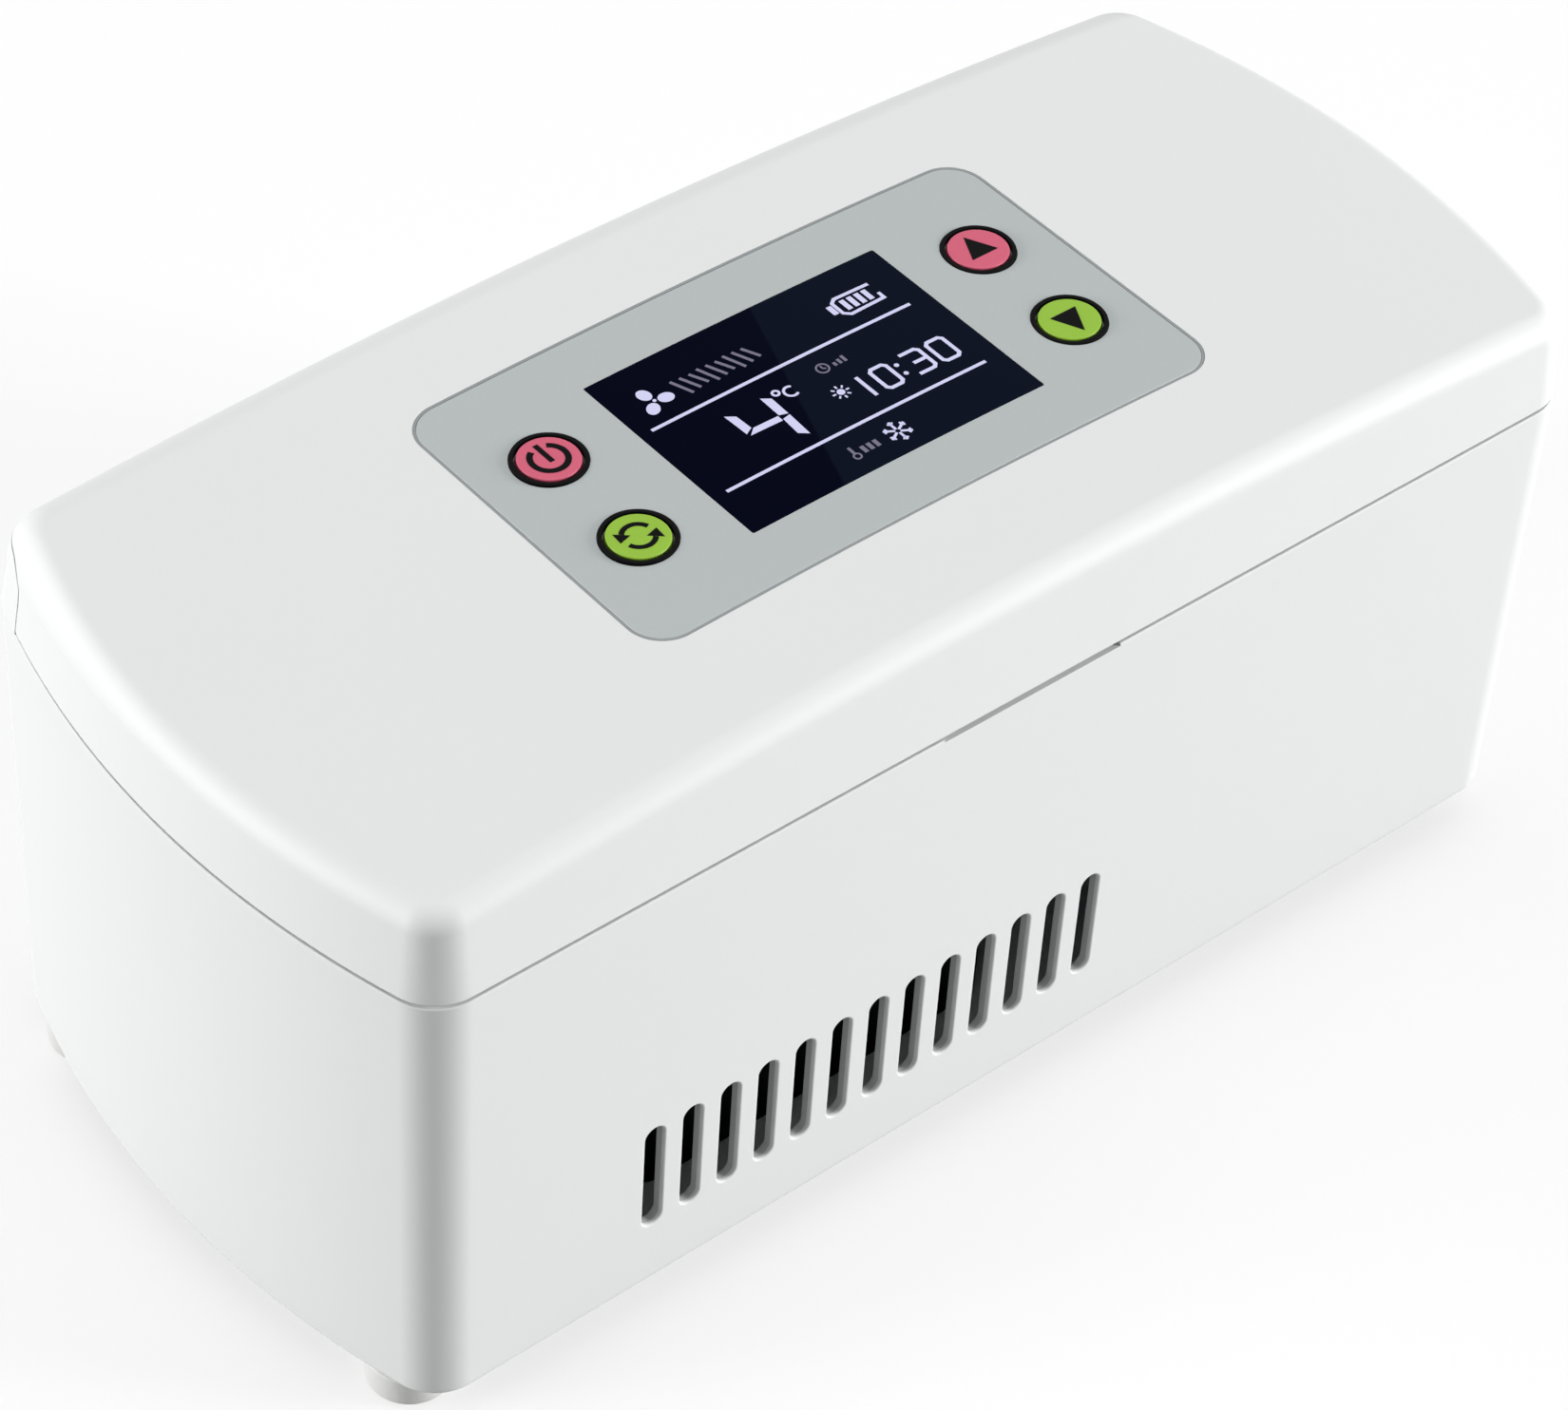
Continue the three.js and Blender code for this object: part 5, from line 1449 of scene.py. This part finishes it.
class COOLING_CASE_OT_keys(bpy.types.Operator):
    """Four round keys with their symbols, each in a black trim ring"""

    bl_idname = "cooling_case.keys"
    bl_label = "Keys"

    SLOTS = {"power": "red_key", "auto": "green_key", "up": "red_key", "down": "green_key"}
    FLANGE_T = 1 * MM
    RING_EDGE = 0.12 * MM
    RING_UNDER = 0.05 * MM
    SIGN_SUNK = 0.04 * MM
    SIGN_PROUD = 0.03 * MM

    def power(self, marks):
        marks.circle((0, 0), 2.4, 0.82, math.radians(119), math.radians(421))
        marks.stroke([(0, -0.75), (0, 2.9)], 0.74)

    def auto(self, marks):
        # Two arrows that chase each other round: a plain sign for running by itself
        for turn in (0, 180):
            start = math.radians(turn + 20)
            stop = math.radians(turn + 140)
            marks.circle((0, 0), 2.1, 0.7, start, stop, steps=20)
            way = Vector((-math.sin(stop), math.cos(stop)))
            tip = Vector((2.1 * math.cos(stop), 2.1 * math.sin(stop))) + way * 1.6
            base = tip - way * 1.55
            side = Vector((-way.y, way.x)) * 1.1
            marks.patch([tuple(base - side), tuple(tip), tuple(base + side)])

    def up(self, marks):
        marks.patch([(-2.2, -1.4), (2.1, -1.4), (-0.1, 2.9)])

    def down(self, marks):
        marks.patch([(-2.1, 1.45), (0, -2.9), (2.2, 1.45)])

    def cap(self, sizes, name, node):
        low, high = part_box(node)
        flange = (high.x - low.x) / 2
        shoulder = low.z + self.FLANGE_T
        cap = sizes.key_radius
        edge = sizes.key_edge
        profile = [(0, low.z), (flange, low.z), (flange, shoulder), (cap, shoulder)]
        profile += arc((cap - edge, high.z - edge), edge, 0, QUARTER_TURN, EDGE_STEPS)
        profile += [(cap * 0.75, high.z), (cap * 0.4, high.z), (0, high.z)]
        return lathe(name, profile, middle_of(node))

    def trim(self, sizes, name, node, top):
        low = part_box(node)[0].z
        inner = sizes.key_radius + FIT
        outer = inner + sizes.ring_width
        edge = self.RING_EDGE
        profile = [(inner, low), (outer, low)]
        profile += arc((outer - edge, top - edge), edge, 0, QUARTER_TURN, EDGE_STEPS)
        profile += arc((inner + edge, top - edge), edge, QUARTER_TURN, math.pi, EDGE_STEPS)
        return lathe(name, profile + [(inner, low)], middle_of(node))

    def execute(self, context):
        sizes = context.scene.case_sizes
        for name, slot in self.SLOTS.items():
            node = f"{name}_button"
            top = top_of(node)
            dress(context, self.cap(sizes, f"{name}_key_cap", node), f"{name}_key", slot, node)
            marks = Marks()
            getattr(self, name)(marks)
            place = (middle_of(node), lambda x: top, self.SIGN_SUNK, self.SIGN_PROUD)
            dress(context, marks.piece(f"{name}_key_sign", *place), f"{name}_key", "black_abs")
            trim = self.trim(sizes, f"{name}_key_ring", f"{node}_ring", top - self.RING_UNDER)
            dress(context, trim, "lid", "black_abs", f"{node}_ring")
        repaint(context, "black_abs", *[f"{name}_switch" for name in self.SLOTS])
        return {"FINISHED"}


class COOLING_CASE_OT_underside(bpy.types.Operator):
    """Bottom cover with intake slots, its screws and the four feet"""

    bl_idname = "cooling_case.underside"
    bl_label = "Underside"

    COVER_EDGE = 0.4 * MM
    INTAKE_LIP = 0.4 * MM
    SINK = 1.6 * MM
    OVER = 1 * MM
    PEG_R = 2.4 * MM
    FOOT_EDGE = 0.9 * MM
    FOOT_LIP = 0.4 * MM
    FOOT_PIT = 0.25 * MM

    def cover(self, sizes):
        low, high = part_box("bottom_cover")
        inset = HALF_L - high.x
        edge = self.COVER_EDGE
        section = [(inset + edge, low.z), (inset, low.z + edge), (inset, high.z)]
        cover = layered("bottom_cover_plate", partial(case_quarter, sizes), section)
        middle = middle_of("fan_frame")
        slot = slot_cutter(
            "intakes", sizes.vent_width, sizes.intake_length, self.INTAKE_LIP, low.z, 2 * (high.z - low.z),
            lambda u, v, w: (middle.x + u, middle.y + v, w),
        )
        carve(cover, grow(slot, row_tree, Count=sizes.intake_count, Step=(sizes.vent_pitch, 0, 0)))
        screw_low, screw_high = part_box("cover_screw_rear_right")
        head = (screw_high.x - screw_low.x) / 2 + SEAT
        shoulder = screw_low.z + self.SINK
        under = low.z - self.OVER
        over = high.z + self.OVER
        profile = [(0, under), (head, under), (head, shoulder)]
        profile += [(SCREW_HOLE, shoulder), (SCREW_HOLE, over), (0, over)]
        carve(cover, at_corners(lathe("sinks", profile, steps=40), "cover_screw"))
        return carve(cover, at_corners(rod("pegs", self.PEG_R + SEAT, under, over, steps=40), "foot"))

    def feet(self, context):
        low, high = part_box("foot_rear_right")
        radius = (high.x - low.x) / 2
        edge = self.FOOT_EDGE
        lip = self.FOOT_LIP
        pit = low.z + self.FOOT_PIT
        shoulder = BASE_LOW.z - SEAT
        profile = [(0, pit), (radius * 0.45, pit), (radius * 0.5, low.z)]
        profile += arc((radius - edge, low.z + edge), edge, -QUARTER_TURN, 0, EDGE_STEPS)
        profile += arc((radius - lip, shoulder - lip), lip, 0, QUARTER_TURN, EDGE_STEPS)
        profile += [(self.PEG_R, shoulder), (self.PEG_R, high.z), (0, high.z)]
        return at_corners(lathe("feet", profile), "foot", Material=finish_of(context, "foot_rubber"))

    def execute(self, context):
        dress(context, self.cover(context.scene.case_sizes), "base", "white_abs", "bottom_cover")
        dress(context, self.feet(context), "base", "foot_rubber", *four("foot"))
        add_screws(context, "cover_screws", "cover_screw", "base", head_down=True)
        return {"FINISHED"}


class COOLING_CASE_OT_chamber(bpy.types.Operator):
    """Inner deck with its screws and magnets, and the aluminium cold chamber"""

    bl_idname = "cooling_case.chamber"
    bl_label = "Cold chamber"

    DECK_EDGE = 0.5 * MM
    LEDGE = 2.5 * MM
    LEDGE_CORNER = 1.5 * MM
    TRAY_WALL = 1.2 * MM
    TRAY_BEND = 2.5 * MM
    FLANGE_T = 1 * MM
    FLANGE_W = 2.8 * MM
    FLANGE_LIP = 0.5 * MM
    FLANGE_EDGE = 0.3 * MM
    MAGNET_EDGE = 0.3 * MM

    def deck(self, sizes):
        low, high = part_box("inner_deck")
        inset = HALF_L - high.x
        edge = self.DECK_EDGE
        section = [(inset, low.z), (inset, high.z - edge), (inset + edge, high.z)]
        deck = layered("inner_deck_plate", partial(case_quarter, sizes), section)
        under = low.z - edge
        over = high.z + edge
        cut_rear(deck, high.y, under, over)
        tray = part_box("cold_tray")[1]
        corner = sizes.chamber_corner + self.LEDGE_CORNER
        opening = box_at((0, 0), tray.x - self.LEDGE, tray.y - self.LEDGE, corner)
        carve(deck, prism("opening", opening, "z", under, over))
        magnet_low, magnet_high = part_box("base_magnet_right")
        radius = (magnet_high.x - magnet_low.x) / 2 + SEAT
        place = (0, middle_of("base_magnet_right").y)
        carve(deck, in_pair(rod("sink", radius, magnet_low.z - SEAT, over, place), "base_magnet"))
        return carve(deck, at_corners(rod("bores", SCREW_HOLE, under, over, steps=24), "deck_screw"))

    def tray(self, sizes):
        low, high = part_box("cold_tray")
        outer = self.FLANGE_W
        inner = outer + self.TRAY_WALL
        bend = self.TRAY_BEND
        lip = self.FLANGE_LIP
        soft = self.FLANGE_EDGE
        top = high.z
        under = top - self.FLANGE_T
        section = [(outer + bend, low.z)]
        section += fillet(outer, low.z + bend, bend, up=False, back=True)[1:]
        section += [(outer, under), (soft, under), (0, under + soft), (0, top - soft), (soft, top)]
        section += fillet(inner, top - lip, lip, out=False, back=True)
        section += fillet(inner, low.z + bend, bend - self.TRAY_WALL, up=False)
        outline = partial(box_quarter, high.x, high.y, sizes.chamber_corner + inner)
        return layered("cold_chamber", outline, section)

    def magnets(self, context):
        low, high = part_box("base_magnet_right")
        radius = (high.x - low.x) / 2
        edge = self.MAGNET_EDGE
        profile = [(0, low.z), (radius - edge, low.z), (radius, low.z + edge), (radius, high.z - edge)]
        profile += [(radius - edge, high.z), (0, high.z)]
        disc = lathe("base_magnets", profile, (0, (low.y + high.y) / 2))
        return in_pair(disc, "base_magnet", Material=finish_of(context, "steel"))

    def execute(self, context):
        sizes = context.scene.case_sizes
        dress(context, self.deck(sizes), "base", "liner_abs", "inner_deck")
        tray = self.tray(sizes)
        dress(context, tray, "base", "bare_aluminium", "cold_tray", finish="drawn_aluminium")
        dress(context, self.magnets(context), "base", "steel", "base_magnet_left", "base_magnet_right")
        add_screws(context, "deck_screws", "deck_screw", "base", head_down=False)
        repaint(context, "foam", "tray_foam")
        repaint(context, "black_abs", "temp_sensor")
        return {"FINISHED"}


class COOLING_CASE_OT_lining(bpy.types.Operator):
    """Lining of the lid with its plug, gasket, screws and magnets"""

    bl_idname = "cooling_case.lining"
    bl_label = "Lid lining"

    SHEET_EDGE = 0.4 * MM
    PLUG_STEP = 6.5 * MM
    PLUG_EDGE = 0.8 * MM
    BEAD_HALF = 1.5 * MM
    CREST_HALF = 0.9 * MM

    def liner(self, sizes):
        low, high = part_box("lid_liner")
        sheet_low = top_of("lid_gasket") + SEAT
        inset = HALF_L - high.x
        edge = self.SHEET_EDGE
        over = high.z + edge
        section = [(inset + edge, sheet_low), (inset, sheet_low + edge), (inset, high.z)]
        sheet = layered("lid_lining", partial(case_quarter, sizes), section)
        cut_rear(sheet, high.y, low.z - edge, over)
        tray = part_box("cold_tray")[1]
        step = self.PLUG_STEP
        soft = self.PLUG_EDGE
        outline = partial(box_quarter, tray.x - step, tray.y - step, sizes.chamber_corner)
        section = fillet(0, low.z + soft, soft, up=False, back=True) + [(0, high.z - edge)]
        carve(sheet, layered("plug", outline, section), "UNION")
        return carve(sheet, at_corners(rod("bores", SCREW_HOLE, low.z, over, steps=24), "lid_screw"))

    def gasket(self, context):
        # A solid bead: flat against the lining, round where it meets the chamber's flange
        low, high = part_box("lid_gasket")
        half = self.BEAD_HALF
        crest = self.CREST_HALF
        height = high.z - low.z
        shoulder = 0.6 * height
        neck = 0.45 * height
        section = [(half, height), (half, shoulder), (crest, neck)]
        section += [(0.9 * crest * x, neck - neck * y) for x, y in arc((0, 0), 1, 0, math.pi, steps=16)]
        section += [(-crest, neck), (-half, shoulder), (-half, height)]
        count = len(section)
        mesh = bpy.data.meshes.new("gasket")
        edges = [(i, (i + 1) % count) for i in range(count)]
        mesh.from_pydata([(x, y, 0) for x, y in section], edges, [])
        bead = link("lid_seal", mesh)
        grow(
            bead, gasket_tree, Across=2 * (high.x - half), Deep=2 * (high.y - half),
            Corner=context.scene.case_sizes.chamber_corner + half,
            Material=finish_of(context, "seal_silicone"),
        )
        close_up(bead.data)
        return shift(bead, (0, 0, low.z))

    def execute(self, context):
        dress(context, self.liner(context.scene.case_sizes), "lid", "liner_abs", "lid_liner")
        dress(context, self.gasket(context), "lid", "seal_silicone", "lid_gasket")
        add_screws(context, "lid_screws", "lid_screw", "lid", head_down=True)
        repaint(context, "steel", "lid_magnet_left", "lid_magnet_right")
        repaint(context, "foam", "lid_foam")
        repaint(context, "black_abs", "lcd_module")
        repaint(context, "circuit_board", "display_board")
        return {"FINISHED"}


class COOLING_CASE_OT_cooling(bpy.types.Operator):
    """Heat sink, fan and thermoelectric stack behind the vents"""

    bl_idname = "cooling_case.cooling"
    bl_label = "Cooling stack"

    PLATE_T = 4 * MM
    PLATE_CORNER = 1 * MM
    PLATE_EDGE = 0.4 * MM
    FRAME_CORNER = 4 * MM
    FRAME_EDGE = 0.5 * MM
    FAN_BORE = 28.5 * MM
    FAN_FLARE = 1.2 * MM
    OVER = 1 * MM
    STRUT_T = 2 * MM
    STRUT_HALF = 1.5 * MM
    MOTOR_R = 12 * MM
    PIN_R = 1.5 * MM
    PIN_UNDER = 2 * MM
    HUB_R = 13 * MM
    HUB_EDGE = 1 * MM
    HUB_BORE = 1.8 * MM
    HUB_ROOF = 1.7 * MM
    BLADES = 7
    BLADE_TIP = 26.8 * MM
    BLADE_RISE = 7.6 * MM
    BLADE_HALF_T = 0.55 * MM
    BLADE_STEPS = 8
    BLADE_LEAN = 0.42
    BLADE_TWIST = 0.1
    BLADE_SWEEP = 0.35
    HAIR = 0.01 * MM

    def heat_sink(self, sizes):
        low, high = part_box("heat_sink")
        middle = (low + high) / 2
        half = (high - low) / 2
        plate = soft_block(
            "finned_heat_sink", middle, half.x, half.y, self.PLATE_CORNER,
            high.z - self.PLATE_T, high.z, self.PLATE_EDGE,
        )
        thick = sizes.fin_thick
        root = high.z - self.PLATE_T / 2
        tip = low.z + 0.45 * thick
        right = [(thick / 4, low.z), (thick / 2, tip), (thick / 2, root)]
        outline = [(-x, z) for x, z in reversed(right)] + right
        fin = prism("fins", outline, "y", low.y + self.HAIR, high.y - self.HAIR)
        shift(fin, (middle.x, 0, 0))
        pitch = (high.x - low.x - thick - 4 * self.HAIR) / (sizes.fin_count - 1)
        return carve(plate, grow(fin, row_tree, Count=sizes.fin_count, Step=(pitch, 0, 0)), "UNION")

    def frame(self):
        low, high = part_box("fan_frame")
        centre = middle_of("fan_frame")
        half = (high.x - low.x) / 2
        soft = self.FRAME_EDGE
        body = soft_block("fan_housing", centre, half, half, self.FRAME_CORNER, low.z, high.z, soft)
        bore = self.FAN_BORE
        flare = self.FAN_FLARE
        wide = bore + flare
        under = low.z - self.OVER
        over = high.z + self.OVER
        profile = [(0, under), (wide, under), (wide, low.z), (bore, low.z + 2 * flare)]
        profile += [(bore, high.z - 2 * flare), (wide, high.z), (wide, over), (0, over)]
        carve(body, lathe("bore", profile, centre, steps=96))
        strut_top = low.z + self.STRUT_T
        reach = half - self.OVER
        for x, y in ((reach, self.STRUT_HALF), (self.STRUT_HALF, reach)):
            foot = (centre.x - x, centre.y - y, low.z + self.HAIR)
            carve(body, block("strut", foot, (centre.x + x, centre.y + y, strut_top)), "UNION")
        motor = self.MOTOR_R
        pin_top = high.z - self.PIN_UNDER
        base = low.z + 2 * self.HAIR
        hub = [(0, base), (motor - soft, base), (motor, low.z + soft), (motor, strut_top)]
        hub += [(self.PIN_R, strut_top), (self.PIN_R, pin_top), (0, pin_top)]
        return carve(body, lathe("motor", hub, centre), "UNION")

    def blade(self, middle):
        # One blade from inside the hub to its tip, swept back and twisted a little on the way
        root = self.HUB_R - self.HUB_EDGE
        reach = self.BLADE_RISE / 2
        thick = self.BLADE_HALF_T
        rings = []
        for i in range(self.BLADE_STEPS + 1):
            share = i / self.BLADE_STEPS
            radius = root + (self.BLADE_TIP - root) * share
            lean = self.BLADE_LEAN + self.BLADE_TWIST * share
            corners = []
            for side, face in ((-1, -1), (-1, 1), (1, 1), (1, -1)):
                around = side * reach * math.cos(lean) + face * thick * math.sin(lean)
                up = side * reach * math.sin(lean) - face * thick * math.cos(lean)
                angle = self.BLADE_SWEEP * share + around / radius
                corners.append((radius * math.cos(angle), radius * math.sin(angle), middle + up))
            rings.append(corners)
        return tube("blades", rings)

    def rotor(self):
        low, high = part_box("fan_rotor")
        centre = middle_of("fan_frame")
        roof = top_of("fan_frame") - self.HUB_ROOF
        soft = self.HUB_EDGE
        profile = [(self.HUB_BORE, low.z), (self.HUB_R, low.z)]
        profile += arc((self.HUB_R - soft, high.z - soft), soft, 0, QUARTER_TURN, EDGE_STEPS)
        profile += [(0, high.z), (0, roof), (self.HUB_BORE, roof), (self.HUB_BORE, low.z)]
        wheel = lathe("fan_wheel", profile)
        blade = self.blade((low.z + high.z) / 2)
        carve(wheel, grow(blade, wheel_tree, Count=self.BLADES), "UNION")
        return shift(wheel, (centre.x, centre.y, 0))

    def execute(self, context):
        sink = self.heat_sink(context.scene.case_sizes)
        dress(context, sink, "base", "bare_aluminium", "heat_sink", finish="extruded_aluminium")
        dress(context, self.frame(), "base", "black_abs", "fan_frame")
        dress(context, self.rotor(), "fan", "black_abs", "fan_rotor")
        repaint(context, "extruded_aluminium", "cold_block")
        repaint(context, "ceramic", "peltier_module")
        return {"FINISHED"}


class COOLING_CASE_OT_power(bpy.types.Operator):
    """Power inlet at the rear, battery cells, boards and hinge pins"""

    bl_idname = "cooling_case.power"
    bl_label = "Power and pins"

    INLET_CORNER = 1 * MM
    INLET_EDGE = 0.4 * MM
    INLET_BORE = 2.8 * MM
    INLET_DEEP = 9 * MM
    INLET_MOUTH = 0.5 * MM
    INLET_PIN_R = 1 * MM
    INLET_PIN_UNDER = 2.4 * MM
    CELL_EDGE = 0.7 * MM
    CELL_RIM = 2.2 * MM
    CELL_DISH = 0.2 * MM
    CELL_WELL = 0.3 * MM
    CAP_R = 3 * MM
    CAP_T = 0.8 * MM

    def inlet(self):
        # Made along z with its mouth at zero, and then laid along y
        low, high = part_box("dc_socket")
        half = (high.x - low.x) / 2
        back = low.y - high.y
        body = soft_block("power_inlet", (0, 0), half, half, self.INLET_CORNER, back, 0, self.INLET_EDGE)
        bore = self.INLET_BORE
        deep = -self.INLET_DEEP
        mouth = self.INLET_MOUTH
        wide = bore + mouth
        profile = [(0, deep), (bore, deep), (bore, -mouth), (wide, 0), (wide, mouth), (0, mouth)]
        carve(body, lathe("bore", profile, steps=48))
        pin = self.INLET_PIN_R
        foot = deep - pin
        tip = -self.INLET_PIN_UNDER
        stem = [(0, foot), (pin, foot), (pin, tip - pin / 2), (pin / 2, tip), (0, tip)]
        carve(body, lathe("pin", stem, steps=24), "UNION")
        middle = middle_of("dc_socket")
        return turn_to(body, "y", (middle.x, high.y, middle.z))

    def cell(self, name, node):
        low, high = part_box(node)
        radius = (high.z - low.z) / 2
        half = (high.x - low.x) / 2
        soft = self.CELL_EDGE
        rim = radius - self.CELL_RIM
        dish = self.CELL_DISH - half
        top = half - self.CAP_T
        well = top - self.CELL_WELL
        cap = self.CAP_R
        edge = self.CELL_DISH
        profile = [(0, dish), (rim, dish), (rim, -half)]
        profile += arc((radius - soft, soft - half), soft, -QUARTER_TURN, 0, EDGE_STEPS)
        profile += arc((radius - soft, top - soft), soft, 0, QUARTER_TURN, EDGE_STEPS)
        profile += [(rim, top), (rim, well), (cap, well)]
        profile += [(cap, half - edge), (cap - edge, half), (0, half)]
        return turn_to(lathe(name, profile), "x", middle_of(node))

    def execute(self, context):
        dress(context, self.inlet(), "base", "black_abs", "dc_socket")
        for number in (1, 2):
            node = f"battery_cell_{number}"
            dress(context, self.cell(f"sleeved_cell_{number}", node), "base", "cell_wrap", node)
        repaint(context, "black_abs", "battery_holder")
        repaint(context, "circuit_board", "main_board")
        repaint(context, "steel", "hinge_pin_left", "hinge_pin_right")
        return {"FINISHED"}


class COOLING_CASE_PT_panel(bpy.types.Panel):
    """Steps, sizes and colours of the cooling case"""

    bl_idname = "COOLING_CASE_PT_panel"
    bl_label = "Cooling case"
    bl_space_type = "VIEW_3D"
    bl_region_type = "UI"
    bl_category = "Cooling case"

    def draw(self, context):
        for step in STEPS:
            self.layout.operator(step.bl_idname)
        for group in (context.scene.case_sizes, context.scene.case_colours):
            box = self.layout.box()
            for name in group.bl_rna.properties.keys():
                if name not in ("rna_type", "name"):
                    box.prop(group, name)


STEPS = (
    COOLING_CASE_OT_stage,
    COOLING_CASE_OT_base,
    COOLING_CASE_OT_lid,
    COOLING_CASE_OT_panel,
    COOLING_CASE_OT_display,
    COOLING_CASE_OT_keys,
    COOLING_CASE_OT_underside,
    COOLING_CASE_OT_chamber,
    COOLING_CASE_OT_lining,
    COOLING_CASE_OT_cooling,
    COOLING_CASE_OT_power,
)
CLASSES = (CaseSizes, CaseColours, *STEPS, COOLING_CASE_PT_panel)


def register():
    for item in CLASSES:
        bpy.utils.register_class(item)
    bpy.types.Scene.case_sizes = PointerProperty(type=CaseSizes)
    bpy.types.Scene.case_colours = PointerProperty(type=CaseColours)


def unregister():
    del bpy.types.Scene.case_colours
    del bpy.types.Scene.case_sizes
    for item in reversed(CLASSES):
        bpy.utils.unregister_class(item)


def main():
    register()
    bpy.ops.cooling_case.stage()
    bpy.ops.cooling_case.base()
    bpy.ops.cooling_case.lid()
    bpy.ops.cooling_case.panel()
    bpy.ops.cooling_case.display()
    bpy.ops.cooling_case.keys()
    bpy.ops.cooling_case.underside()
    bpy.ops.cooling_case.chamber()
    bpy.ops.cooling_case.lining()
    bpy.ops.cooling_case.cooling()
    bpy.ops.cooling_case.power()


if __name__ == "__main__":
    main()
